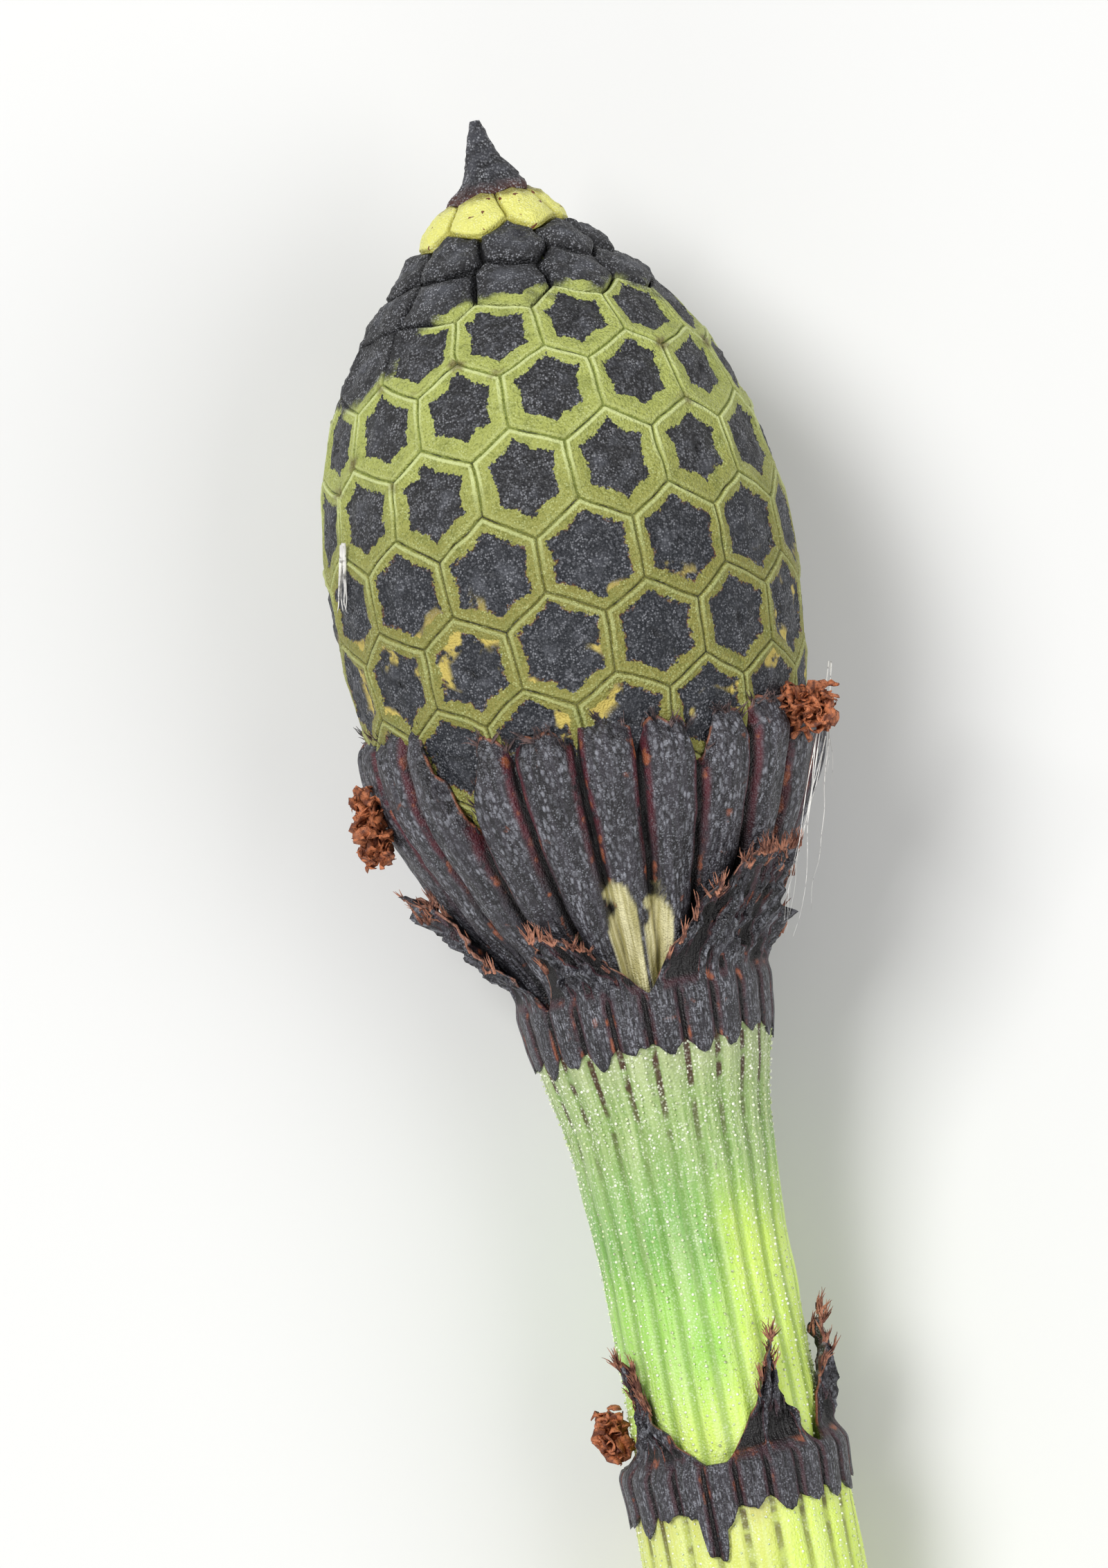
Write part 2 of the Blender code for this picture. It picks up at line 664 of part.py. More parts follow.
def main():
    """Builds every piece on the shoot's axis and lays the shoot down."""
    for thing in list(bpy.data.objects):
        bpy.data.objects.remove(thing)
    shoot = bpy.data.objects.new("shoot_axis", None)
    bpy.context.scene.collection.objects.link(shoot)
    material = {
        "cone": new_material("cone_green", (0.20, 0.24, 0.07), 0.6),
        "crown": new_material("crown_yellow", (0.80, 0.82, 0.25), 0.5),
        "beak": new_material("beak_black", (0.03, 0.03, 0.035), 0.7),
        "sheath": new_material("sheath_black", (0.045, 0.04, 0.05), 0.6),
        "upper_stem": new_material("stem_green", (0.42, 0.60, 0.16), 0.5),
        "lower_stem": new_material("stem_yellow", (0.66, 0.74, 0.22), 0.5),
        "withered": new_material("withered_brown", (0.35, 0.15, 0.07), 0.8),
    }
    build_cone(shoot, material)
    build_cup_sheath(shoot, material)
    build_shoulder_sheath(shoot, material)
    build_node_sheath(shoot, material)
    build_stems(shoot, material)
    build_withered_tips(shoot, material)
    lay_down(shoot)


main()
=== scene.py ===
"""Dresses the horsetail tip: a beaked cone in its torn sheaths on a ribbed, jointed stem.

Lengths are in millimetres unless a name says otherwise. Places on the shoot are given as
`depth`, the distance below the very tip, and `turn`, the angle round the axis in degrees,
with 0 facing up, 90 to the right and 180 on the surface that the shoot lies on.
"""

import enum
import itertools
import logging
import math
import random
from dataclasses import dataclass, field
from typing import Any, Callable

import bmesh
import bpy
import numpy as np
from mathutils import Matrix, Vector, geometry


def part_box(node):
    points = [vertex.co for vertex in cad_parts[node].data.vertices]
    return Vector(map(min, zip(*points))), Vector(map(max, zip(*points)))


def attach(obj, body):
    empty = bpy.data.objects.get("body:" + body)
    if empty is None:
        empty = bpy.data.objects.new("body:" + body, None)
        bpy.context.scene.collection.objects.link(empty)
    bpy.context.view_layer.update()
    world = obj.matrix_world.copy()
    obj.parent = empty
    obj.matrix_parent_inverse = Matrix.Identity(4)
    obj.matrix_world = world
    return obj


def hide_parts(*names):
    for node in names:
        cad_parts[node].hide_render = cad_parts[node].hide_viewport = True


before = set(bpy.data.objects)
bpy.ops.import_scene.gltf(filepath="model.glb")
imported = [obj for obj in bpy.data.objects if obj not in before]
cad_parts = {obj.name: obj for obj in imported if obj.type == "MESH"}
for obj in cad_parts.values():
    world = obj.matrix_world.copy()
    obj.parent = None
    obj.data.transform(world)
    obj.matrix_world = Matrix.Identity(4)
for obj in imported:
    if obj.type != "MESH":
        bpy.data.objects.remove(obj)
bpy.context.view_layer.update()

logger = logging.getLogger("horsetail")

MM = 0.001
PHOTO_WIDTH, PHOTO_HEIGHT = 1600, 2265
PIXELS_PER_MM = 90.0
RIBS = 22
RIB_TURN = 360.0 / RIBS
SHOOT_LENGTH = 30.0
WELD_DISTANCE = 0.0005
LEAST_EDGE = 0.00002
SAME_POINT = 0.0004

Colour = tuple[float, float, float]
Faces = list[tuple[int, ...]]
Lines = list[tuple[np.ndarray, np.ndarray]]


class Slot(enum.Enum):
    """The material slots."""

    SHIELDS = "shields"
    CROWN = "crown"
    BEAK = "beak"
    SHEATH = "sheath"
    UPPER_STEM = "upper_stem"
    LOWER_STEM = "lower_stem"
    WITHERED = "withered"


def rgb(red: int, green: int, blue: int) -> Colour:
    """A colour as it is seen on a screen, from 0 to 255, turned into light values."""
    return tuple(((channel / 255 + 0.055) / 1.055) ** 2.4 if channel > 10
                 else channel / 255 / 12.92 for channel in (red, green, blue))


def smooth_curve(points: tuple[tuple[float, float], ...]) -> Callable:
    """Makes a function that runs smoothly through points.

    Args:
        points: (position, value) pairs with rising positions.

    Returns:
        A function from positions to values, which also takes arrays.
    """
    at, value = (np.array(column, float) for column in zip(*points))
    slope = np.gradient(value, at)

    def curve(position: np.ndarray) -> np.ndarray:
        """The value at that position.

        Args:
            position: Where to read the curve.

        Returns:
            The value there, smooth between the given points.
        """
        position = np.clip(np.asarray(position, float), at[0], at[-1])
        i = np.clip(np.searchsorted(at, position, side="right") - 1, 0, len(at) - 2)
        width = at[i + 1] - at[i]
        t = (position - at[i]) / width
        return (value[i] * (1 + 2 * t) * (1 - t) ** 2 + slope[i] * width * t * (1 - t) ** 2
                + value[i + 1] * t * t * (3 - 2 * t) + slope[i + 1] * width * t * t * (t - 1))

    return curve


def ease(value: np.ndarray, low: float, high: float) -> np.ndarray:
    """0 below low, 1 above high, and a smooth step between them, either way round."""
    t = np.clip((np.asarray(value, float) - low) / (high - low), 0, 1)
    return t * t * (3 - 2 * t)


def bell(value: np.ndarray, centre: float, width: float) -> np.ndarray:
    """1 at the centre, falling off over that width."""
    return np.exp(-(((value - centre) / width) ** 2))


def away(turn: np.ndarray, centre: float) -> np.ndarray:
    """The signed angle from centre to turn, within half a turn."""
    return (np.asarray(turn, float) - centre + 180.0) % 360.0 - 180.0


class ValueNoise:
    """Smooth random values over space, the same on every run."""

    CELLS = 32

    def __init__(self, seed: int) -> None:
        """Draws the table of values that the noise runs through."""
        self.table = np.random.default_rng(seed).random((self.CELLS,) * 3) * 2 - 1

    def __call__(self, points: np.ndarray, size: float) -> np.ndarray:
        """Reads the noise.

        Args:
            points: Positions, with x, y and z on the last axis.
            size: The distance over which the noise changes.

        Returns:
            One value from -1 to 1 for each point.
        """
        at = np.asarray(points, float) / size
        cell = np.floor(at).astype(int)
        share = at - cell
        share = share * share * (3 - 2 * share)
        total = 0.0
        for corner in itertools.product((0, 1), repeat=3):
            i, j, k = np.moveaxis((cell + corner) % self.CELLS, -1, 0)
            weight = np.prod(np.where(corner, share, 1 - share), axis=-1)
            total = total + weight * self.table[i, j, k]
        return total

    def layered(self, points: np.ndarray, size: float, layers: int = 3) -> np.ndarray:
        """The noise with finer and fainter layers of it added."""
        return sum(self(points, size / 2**k) / 2**k for k in range(layers))

    def folds(self, points: np.ndarray, size: float, layers: int = 3) -> np.ndarray:
        """Sharp creases: near 1 along lines and lower between them."""
        return sum((1 - np.abs(self(points, size / 2**k)) * 2) / 2**k for k in range(layers))


@dataclass(frozen=True)
class Shoot:
    """The shoot's axis, how it lies, and the outlines that every piece follows."""

    belly_depth: float = 7.2
    belly_radius: float = 3.73
    cut_end_radius: float = 1.70

    @property
    def lean(self) -> float:
        """The angle by which the tip's end of the axis is raised, in radians."""
        drop = self.belly_radius - self.cut_end_radius
        return math.atan(drop / (SHOOT_LENGTH - self.belly_depth))

    @property
    def middle(self) -> Vector:
        """The world position of the middle of the axis, read from the frame, in metres."""
        stem_low, stem_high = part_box("lower_internode")
        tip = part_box("beak")[1].y
        half = SHOOT_LENGTH / 2
        height = self.cut_end_radius * math.cos(self.lean) + half * math.sin(self.lean)
        return Vector(((stem_low.x + stem_high.x) / 2, tip - half * MM * math.cos(self.lean),
                       height * MM))

    @property
    def matrix(self) -> Matrix:
        """Takes a point in metres along the shoot's own axes to the world."""
        return Matrix.Translation(self.middle) @ Matrix.Rotation(self.lean, 4, "X")

    def own(self, depth: np.ndarray, turn: np.ndarray, radius: np.ndarray) -> np.ndarray:
        """Points in millimetres along the shoot's own axes, x, y and z on the last axis.

        Args:
            depth: Distance below the tip.
            turn: Angle round the axis, in degrees.
            radius: Distance from the axis.

        Returns:
            The points, all in millimetres.
        """
        depth, turn, radius = np.broadcast_arrays(depth, np.radians(turn), radius)
        return np.stack([radius * np.sin(turn), SHOOT_LENGTH / 2 - depth,
                         radius * np.cos(turn)], axis=-1)

    def world(self, own_points: np.ndarray) -> np.ndarray:
        """Points along the shoot's own axes, in millimetres, as world points in metres.

        Args:
            own_points: Points along the shoot's own axes, in millimetres.

        Returns:
            One row for each point, in metres.
        """
        matrix = np.array(self.matrix)
        flat = np.asarray(own_points, float).reshape(-1, 3) * MM
        return flat @ matrix[:3, :3].T + matrix[:3, 3]

    def surface_limit(self, depth: np.ndarray, turn: np.ndarray) -> np.ndarray:
        """How far from the axis the surface under the shoot lies, in that direction.

        Args:
            depth: Distance below the tip.
            turn: Angle round the axis, in degrees.

        Returns:
            The radius at which the surface is met.
        """
        left_over = SHOOT_LENGTH - np.asarray(depth)
        straight_down = self.cut_end_radius + left_over * math.tan(self.lean)
        return straight_down / np.maximum(-np.cos(np.radians(turn)), 1e-3)


SHOOT = Shoot()

CONE_RADIUS = smooth_curve((
    (0.0, 0.08), (0.2, 0.16), (0.6, 0.28), (1.0, 0.51), (1.4, 0.82), (1.8, 1.20),
    (2.2, 1.56), (2.6, 1.92), (3.4, 2.62), (4.2, 3.10), (5.0, 3.40), (6.0, 3.64),
    (7.2, 3.77), (8.2, 3.73), (9.0, 3.65), (9.6, 3.56), (10.2, 3.44), (11.2, 3.08),
    (12.2, 2.30), (13.0, 1.40), (13.6, 0.80), (14.3, 0.78),
))
CUP_RADIUS = smooth_curve((
    (9.0, 3.68), (10.0, 3.72), (10.8, 3.57), (11.4, 3.33), (12.0, 3.02),
    (12.8, 2.58), (13.3, 2.24), (13.8, 1.95), (14.3, 1.84), (14.8, 1.74),
))
UPPER_STEM_RADIUS = smooth_curve((
    (14.5, 1.94), (14.9, 1.96), (15.4, 1.86), (16.2, 1.69), (17.0, 1.61), (18.0, 1.54),
    (20.0, 1.53), (21.4, 1.54), (22.0, 1.50),
))


class Piece:
    """Gathers the points, faces and point values of one mesh along the shoot's axes."""

    def __init__(self) -> None:
        """Starts with nothing in it."""
        self.points: list[np.ndarray] = []
        self.faces: Faces = []
        self.values: dict[str, list[np.ndarray]] = {}
        self.count = 0

    def add(self, points: np.ndarray, faces: Faces, **values: np.ndarray) -> None:
        """Adds a patch of mesh.

        Args:
            points: Its points, in millimetres along the shoot's own axes.
            faces: Its faces, counted from its own first point.
            **values: Named values, one for each point or one for all.
        """
        points = np.asarray(points, float).reshape(-1, 3)
        self.faces += [tuple(i + self.count for i in face) for face in faces]
        for name, value in values.items():
            filled = np.broadcast_to(np.asarray(value, float).reshape(-1), len(points))
            self.values.setdefault(name, []).append(filled)
        self.points.append(points)
        self.count += len(points)

    def finish(self, name: str, material: bpy.types.Material) -> bpy.types.Object:
        """Makes the closed object, with its place in its mesh and its faces turned out.

        Args:
            name: The object's name.
            material: Its finish.

        Returns:
            The new object, at the world's origin.
        """
        mesh = bpy.data.meshes.new(name)
        points = np.concatenate(self.points)
        mesh.from_pydata(SHOOT.world(points).tolist(), [], self.faces)
        for value_name, parts in self.values.items():
            layer = mesh.attributes.new(value_name, "FLOAT", "POINT")
            layer.data.foreach_set("value", np.concatenate(parts).astype(np.float32))
        radius = np.maximum(np.hypot(points[:, 0], points[:, 2]), 1e-6)
        grain = np.stack([points[:, 0] / radius, points[:, 2] / radius,
                          SHOOT_LENGTH / 2 - points[:, 1]], axis=-1)
        layer = mesh.attributes.new("grain_at", "FLOAT_VECTOR", "POINT")
        layer.data.foreach_set("vector", grain.astype(np.float32).ravel())
        close_mesh(mesh)
        mesh.materials.append(material)
        piece = bpy.data.objects.new(name, mesh)
        bpy.context.scene.collection.objects.link(piece)
        return piece


def close_mesh(mesh: bpy.types.Mesh) -> None:
    """Joins points that coincide, turns the faces out and shades them smooth.

    Args:
        mesh: The mesh to change.
    """
    shape = bmesh.new()
    shape.from_mesh(mesh)
    bmesh.ops.remove_doubles(shape, verts=shape.verts, dist=WELD_DISTANCE * MM)
    bmesh.ops.dissolve_degenerate(shape, edges=shape.edges, dist=LEAST_EDGE * MM)
    bmesh.ops.recalc_face_normals(shape, faces=shape.faces)
    shape.to_mesh(mesh)
    shape.free()
    mesh.shade_smooth()


def ring_faces(rows: int, columns: int, joined: bool = False) -> Faces:
    """Faces between rings of points that each run right round.

    Args:
        rows: How many rings there are.
        columns: How many points each ring has.
        joined: Whether the last ring also meets the first one.

    Returns:
        The faces, for points counted ring by ring.
    """
    faces = []
    for i in range(rows if joined else rows - 1):
        a, b = i * columns, (i + 1) % rows * columns
        faces += [(a + k, a + (k + 1) % columns, b + (k + 1) % columns, b + k)
                  for k in range(columns)]
    return faces


def fan_faces(first: int, centre: int, columns: int) -> Faces:
    """Faces from a ring of points, the first of which is given, to one point."""
    return [(first + k, first + (k + 1) % columns, centre) for k in range(columns)]


def dress(piece: bpy.types.Object, slot: Slot, *nodes: str) -> None:
    """Rides a finished piece on the shoot's one body and logs it.

    Args:
        piece: The piece.
        slot: The piece's material slot; not used.
        *nodes: The nodes of the frame that it stands for, if any.
    """
    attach(piece, "root")
    if nodes:
        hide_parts(*nodes)
    triangles = sum(len(face.vertices) - 2 for face in piece.data.polygons)
    logger.info("%s: %d triangles", piece.name, triangles)


class Wire:
    """A node's output, on which arithmetic adds further nodes."""

    def __init__(self, graph: "Graph", socket: bpy.types.NodeSocket) -> None:
        """Stands for that socket of that tree."""
        self.graph, self.socket = graph, socket

    def __add__(self, other: Any) -> "Wire":
        """The sum."""
        return self.graph.join("ADD", self, other)

    def __sub__(self, other: Any) -> "Wire":
        """The difference."""
        return self.graph.join("SUBTRACT", self, other)

    def __rsub__(self, other: Any) -> "Wire":
        """The difference, the other way round."""
        return self.graph.join("SUBTRACT", other, self)

    def __mul__(self, other: Any) -> "Wire":
        """The product."""
        return self.graph.join("MULTIPLY", self, other)

    def __truediv__(self, other: Any) -> "Wire":
        """The quotient."""
        return self.graph.join("DIVIDE", self, other)

    def step(self, low: float, high: float) -> "Wire":
        """0 below low, 1 above high, with a smooth step between, either way round.

        Args:
            low: Where the step starts.
            high: Where it ends.

        Returns:
            The stepped value.
        """
        return self.graph.node("ShaderNodeMapRange", {
            "Value": self, "From Min": low, "From Max": high,
        }, interpolation_type="SMOOTHSTEP")

    def band(self, start: float, full: float, fading: float, end: float) -> "Wire":
        """1 from full to fading, and 0 before the start and after the end."""
        return self.step(start, full) * self.step(end, fading)

    def math(self, operation: str, *others: Any) -> "Wire":
        """The result of a Math node on this and other values."""
        return self.graph.join(operation, self, *others)

    def out(self, name: str) -> "Wire":
        """Another output of the same node."""
        return Wire(self.graph, self.graph.pick(self.socket.node.outputs, name))


class Graph:
    """Adds nodes to one shader or geometry tree and links them."""

    def __init__(self, tree: bpy.types.NodeTree) -> None:
        """Works on that tree."""
        self.tree = tree

    @staticmethod
    def pick(sockets: Any, which: int | str) -> bpy.types.NodeSocket:
        """The socket in use with that name, or with that number among those in use.

        Args:
            sockets: A node's inputs or outputs.
            which: The name or number.

        Returns:
            The socket.
        """
        in_use = [socket for socket in sockets if socket.enabled]
        if isinstance(which, int):
            return in_use[which]
        return next(socket for socket in in_use if socket.name == which)

    def feed(self, socket: bpy.types.NodeSocket, value: Any) -> None:
        """Links a socket to a wire, or sets the value that it holds.

        Args:
            socket: The input to feed.
            value: A wire, number, colour or other value.
        """
        if isinstance(value, Wire):
            self.tree.links.new(value.socket, socket)
        elif socket.type == "RGBA":
            socket.default_value = (*value, 1.0)
        elif socket.type == "VECTOR" and isinstance(value, (int, float)):
            socket.default_value = (value,) * 3
        else:
            socket.default_value = value

    def node(self, kind: str, inputs: dict | None = None, out: int | str = 0,
             **settings: Any) -> Wire:
        """Adds a node.

        Args:
            kind: The node's type.
            inputs: Wires or values by the input's name or number.
            out: The output to give back, by name or number.
            **settings: The node's own settings.

        Returns:
            That output.
        """
        node = self.tree.nodes.new(kind)
        for name, value in settings.items():
            setattr(node, name, value)
        for which, value in (inputs or {}).items():
            self.feed(self.pick(node.inputs, which), value)
        return Wire(self, self.pick(node.outputs, out))

    def join(self, operation: str, *values: Any) -> Wire:
        """The result of a Math node, or of a Vector Math node where a vector comes in.

        Args:
            operation: The node's operation.
            *values: Wires or values, in the node's order.

        Returns:
            The result.
        """
        kinds = [value.socket.type for value in values if isinstance(value, Wire)]
        vectors = {"VECTOR", "RGBA"} & set(kinds) or any(isinstance(v, tuple) for v in values)
        kind = "ShaderNodeVectorMath" if vectors else "ShaderNodeMath"
        return self.node(kind, dict(enumerate(values)), operation=operation)

    def mix(self, share: Any, first: Any, second: Any) -> Wire:
        """Two colours mixed, with the second one at share 1."""
        return self.node("ShaderNodeMix", {"Factor": share, "A": first, "B": second},
                         data_type="RGBA")

    def noise(self, where: Any, size: float = 1.0, detail: float = 3.0) -> Wire:
        """Noise from 0 to 1 that changes over that size, in the unit of where.

        Args:
            where: The position to read.
            size: The distance over which it changes.
            detail: How much finer noise is added.

        Returns:
            The noise.
        """
        return self.node("ShaderNodeTexNoise", {
            "Vector": where, "Scale": 1 / size, "Detail": detail,
        })

    def axes(self, vector: Wire) -> list[Wire]:
        """The three numbers of a vector."""
        first = self.node("ShaderNodeSeparateXYZ", {0: vector})
        return [first, first.out("Y"), first.out("Z")]

    def combine(self, *numbers: Any) -> Wire:
        """A vector of three numbers."""
        return self.node("ShaderNodeCombineXYZ", dict(enumerate(numbers)))


class SurfaceGraph(Graph):
    """The shader tree of one material, with the values that the meshes carry."""

    def __init__(self, name: str) -> None:
        """Starts a material of that name with its Principled shader.

        Args:
            name: The material's name.
        """
        self.material = bpy.data.materials.new(name)
        self.material.use_nodes = True
        super().__init__(self.material.node_tree)
        self.shader = self.tree.nodes["Principled BSDF"]

    def values(self, *names: str) -> list[Wire]:
        """Numbers that the mesh carries at each point."""
        return [self.node("ShaderNodeAttribute", out="Fac", attribute_name=name)
                for name in names]

    @property
    def grain(self) -> Wire:
        """Where the point lies along the grain."""
        return self.node("ShaderNodeAttribute", out="Vector", attribute_name="grain_at")

    @property
    def millimetres(self) -> Wire:
        """The point's place on the piece, in millimetres."""
        return self.node("ShaderNodeTexCoord", out="Object") * (1 / MM)

    def group(self, tree: bpy.types.NodeTree, out: int | str = 0, **values: Any) -> Wire:
        """Places a shared effect, with underscores in the names standing for spaces.

        Args:
            tree: The effect's node group.
            out: The output to give back.
            **values: The effect's inputs.

        Returns:
            That output.
        """
        inputs = {name.replace("_", " "): value for name, value in values.items()}
        node = self.tree.nodes.new("ShaderNodeGroup")
        node.node_tree = tree
        for name, value in inputs.items():
            self.feed(node.inputs[name], value)
        return Wire(self, self.pick(node.outputs, out))

    def finish(self, colour: Wire, roughness: Any, height: Wire, relief: float,
               **sockets: float) -> bpy.types.Material:
        """Wires the shader.

        Args:
            colour: The base colour.
            roughness: The roughness.
            height: The height of the fine relief, from 0 to 1.
            relief: How far that height stands up, in millimetres.
            **sockets: Values for other sockets, with underscores standing for spaces.

        Returns:
            The finished material.
        """
        normal = self.node("ShaderNodeBump", {
            "Strength": 1.0, "Distance": relief * MM, "Height": height,
        })
        given = {"Normal": normal, "Base Color": colour, "Roughness": roughness}
        given |= {name.replace("_", " "): value for name, value in sockets.items()}
        for name, value in given.items():
            self.feed(self.shader.inputs[name], value)
        return self.material


class EffectGraph(Graph):
    """A shader node group that several materials share."""

    KINDS = {float: "NodeSocketFloat", Vector: "NodeSocketVector", Colour: "NodeSocketColor"}

    def __init__(self, name: str, inputs: dict[str, type], outputs: dict[str, type]) -> None:
        """Starts a group with inputs and outputs of those types, by name.

        Args:
            name: The group's name.
            inputs: The inputs' types by name.
            outputs: The outputs' types by name.
        """
        super().__init__(bpy.data.node_groups.new(name, "ShaderNodeTree"))
        for in_out, sockets in (("INPUT", inputs), ("OUTPUT", outputs)):
            for socket, kind in sockets.items():
                self.tree.interface.new_socket(socket, in_out=in_out,
                                               socket_type=self.KINDS[kind])
        given = self.tree.nodes.new("NodeGroupInput").outputs
        self.given = {name: Wire(self, given[name]) for name in inputs}
        self.made = self.tree.nodes.new("NodeGroupOutput").inputs


def silica_sparkle() -> bpy.types.NodeTree:
    """Whitish glassy grains of uneven brightness, each in its own small cell, in loose clusters:
    their specks are partly the silica's own pale colour and partly painted glints.

    Returns:
        A group that puts out the grains' brightness and a grainy height.
    """
    g = EffectGraph("silica_sparkle", {"Vector": Vector, "Speck Size": float, "Cover": float},
                    {"Specks": float, "Height": float})
    where = g.given["Vector"] / g.given["Speck Size"]
    distance = g.node("ShaderNodeTexVoronoi", {"Vector": where, "Scale": 1.0}, "Distance")
    draw = g.node("ShaderNodeVectorMath", {0: distance.out("Color"), 1: (0.5, 0.3, 0.2)},
                  "Value", operation="DOT_PRODUCT")
    level = (draw + g.given["Cover"] - 1.0).step(0.0, 0.42)
    cluster = g.noise(where, 7.0, 2.0).step(0.34, 0.64)
    inside = distance.step(0.62, 0.22)
    # Specks: the silica's own pale colour together with painted glints
    g.feed(g.made["Specks"], level * inside * (cluster * 0.75 + 0.25))
    g.feed(g.made["Height"], 1.0 - distance)
    return g.tree


def dry_fibre() -> bpy.types.NodeTree:
    """Fine lines that run along the shoot, as on dry bracts and on the stem.

    Returns:
        A group that puts out the lines' tone and a height.
    """
    g = EffectGraph("dry_fibre", {"Vector": Vector, "Lines": float, "Length": float},
                    {"Tone": float, "Height": float})
    x, y, depth = g.axes(g.given["Vector"])
    lines = g.noise(g.combine(x * g.given["Lines"], y * g.given["Lines"],
                              depth / g.given["Length"]), 1.0, 2.5)
    g.feed(g.made["Tone"], lines.step(0.36, 0.66))
    g.feed(g.made["Height"], lines)
    return g.tree


def withering() -> bpy.types.NodeTree:
    """Patches where dead tissue has turned from black to rust and dark red.

    Returns:
        A group that mixes a colour towards another one in patches.
    """
    g = EffectGraph("withering", {"Vector": Vector, "Colour": Colour, "Rust": Colour,
                                  "Patch Size": float, "Amount": float},
                    {"Colour": Colour, "Patches": float})
    cloud = g.noise(g.given["Vector"] / g.given["Patch Size"], 1.0, 4.0)
    patches = (cloud + g.given["Amount"] * 0.62).step(0.66, 0.80)
    g.feed(g.made["Patches"], patches)
    g.feed(g.made["Colour"], g.mix(patches, g.given["Colour"], g.given["Rust"]))
    return g.tree


@dataclass(frozen=True)
class SharedEffects:
    """The node groups that more than one finish uses, each built once."""

    sparkle: bpy.types.NodeTree = field(default_factory=silica_sparkle)
    fibre: bpy.types.NodeTree = field(default_factory=dry_fibre)
    withering: bpy.types.NodeTree = field(default_factory=withering)


@dataclass(frozen=True)
class ShieldFinish:
    """Charcoal shields with olive rims, painted shade in the seams and slits, a painted highlight
    along the ridges, and glassy grains whose specks are partly painted glints.
    """

    effects: SharedEffects
    rim_upper: Colour = rgb(170, 178, 92)
    rim_lower: Colour = rgb(134, 130, 58)
    rim_shade: Colour = rgb(96, 106, 32)
    ridge: Colour = rgb(208, 217, 150)
    # Painted shade colours for the grooves between shields
    seam_shade_upper: Colour = rgb(88, 106, 30)
    seam_shade_lower: Colour = rgb(62, 64, 22)
    smudge: Colour = rgb(84, 58, 28)
    charcoal: Colour = rgb(25, 25, 28)
    slate: Colour = rgb(22, 26, 34)
    frost: Colour = rgb(76, 78, 85)
    speck: Colour = rgb(214, 216, 224)
    burnt: Colour = rgb(112, 62, 20)
    blotch: Colour = rgb(200, 180, 92)
    # Near black: painted shade in the seams, the slits and the patch borders
    hollow: Colour = rgb(9, 9, 11)

    def material(self) -> bpy.types.Material:
        """Builds the material from the values that the cone's mesh carries.

        Returns:
            The material.
        """
        g = SurfaceGraph("shields")
        where = g.millimetres
        share, corner, footward, depth, hollow, tone, black = g.values(
            "edge_share", "corner", "footward", "depth", "hollow", "tone", "blackened")
        jag, fine = g.noise(where, 0.12, 2.0) - 0.5, g.noise(where, 0.042, 1.0) - 0.5
        cloud, wide = g.noise(where, 0.30, 3.0), g.noise(where, 0.9, 2.0)
        grains = g.group(self.effects.sparkle, Vector=where, Speck_Size=0.036, Cover=0.72)
        coarse = g.group(self.effects.sparkle, Vector=where, Speck_Size=0.060, Cover=0.62)

        low = depth.step(5.6, 7.6)
        border = 0.40 - low * 0.14 - depth.step(4.6, 3.8) * 0.05 - corner * 0.055
        border = border + footward * (0.10 - low * 0.075) + jag * 0.20 + fine * 0.12
        inside = share - (border + tone * 0.03)

        rim = g.mix(depth.step(4.4, 8.0), self.rim_upper, self.rim_lower)
        rim = g.mix(cloud.step(0.50, 0.74) * 0.45, rim, self.rim_shade)
        rim = g.mix(fine.step(-0.03, -0.18) * 0.5, rim, self.rim_shade)
        # Painted highlight along each shield's raised ridge, strongest on the edges that face the
        # tip
        tipward = (footward * -1.0).step(-0.5, 0.7) * 0.75 + 0.25
        line = share.band(0.025, 0.05, 0.085, 0.125) * tipward * (0.9 - low * 0.55)
        rim = g.mix(line, rim, self.ridge)
        # Specks in the ridge's pale colour: silica and painted glints
        rim = g.mix(grains * 0.55, rim, self.ridge)
        # Painted shade in the groove between shields, browner low on the cone
        seam = g.mix(low, self.seam_shade_upper, self.seam_shade_lower)
        rim = g.mix(share.step(0.030, 0.008) * 0.6, rim, seam)
        smudges = wide.step(0.55, 0.62) * corner.step(0.35, 0.8) * share.step(0.20, 0.06)
        rim = g.mix(smudges * depth.band(3.2, 3.6, 5.4, 6.2) * 0.7, rim, self.smudge)

        patch = g.mix(low, self.charcoal, self.slate)
        patch = g.mix(cloud.step(0.46, 0.74) * share.step(0.3, 0.6) * 0.65, patch, self.frost)
        # The patch's border lies where the relief drops: painted shade there, with real burnt brown
        # low on the cone
        edge = inside.step(0.05, 0.0)
        edge_colour = g.mix(low * jag.step(-0.06, 0.10), self.hollow, self.burnt)
        patch = g.mix(edge * 0.8, patch, edge_colour)
        # Specks in the patches and bricks: silica's pale colour and painted glints
        patch = g.mix(grains * 0.30, patch, self.speck)
        patch = g.mix(coarse * 0.16, patch, self.speck)
        # Painted shade in the slit in each shield's middle
        patch = g.mix(hollow * 0.85, patch, self.hollow)
        spots = wide.step(0.56, 0.61) * depth.step(7.3, 8.2) * share.step(0.62, 0.42)
        patch = g.mix(spots * cloud.step(0.42, 0.52), patch, self.blotch)

        colour = g.mix(inside.step(-0.012, 0.014), rim, patch)
        brick = g.mix(share.step(0.12, 0.75) * cloud.step(0.36, 0.66) * 0.75, self.charcoal,
                      self.frost)
        brick = g.mix(grains * 0.42, brick, self.speck)
        # Painted shade in the seams between the black bricks
        brick = g.mix(hollow * 0.95, brick, self.hollow)
        # Black rows below the crown, and painted shade further down the left and right sides
        colour = g.mix(black, colour, brick)
        height = grains.out("Height") * 0.5 + coarse.out("Height") * 0.5 + fine * 0.6
        return g.finish(colour, 0.62 - grains * 0.25, height, 0.034, Specular_IOR_Level=0.5)


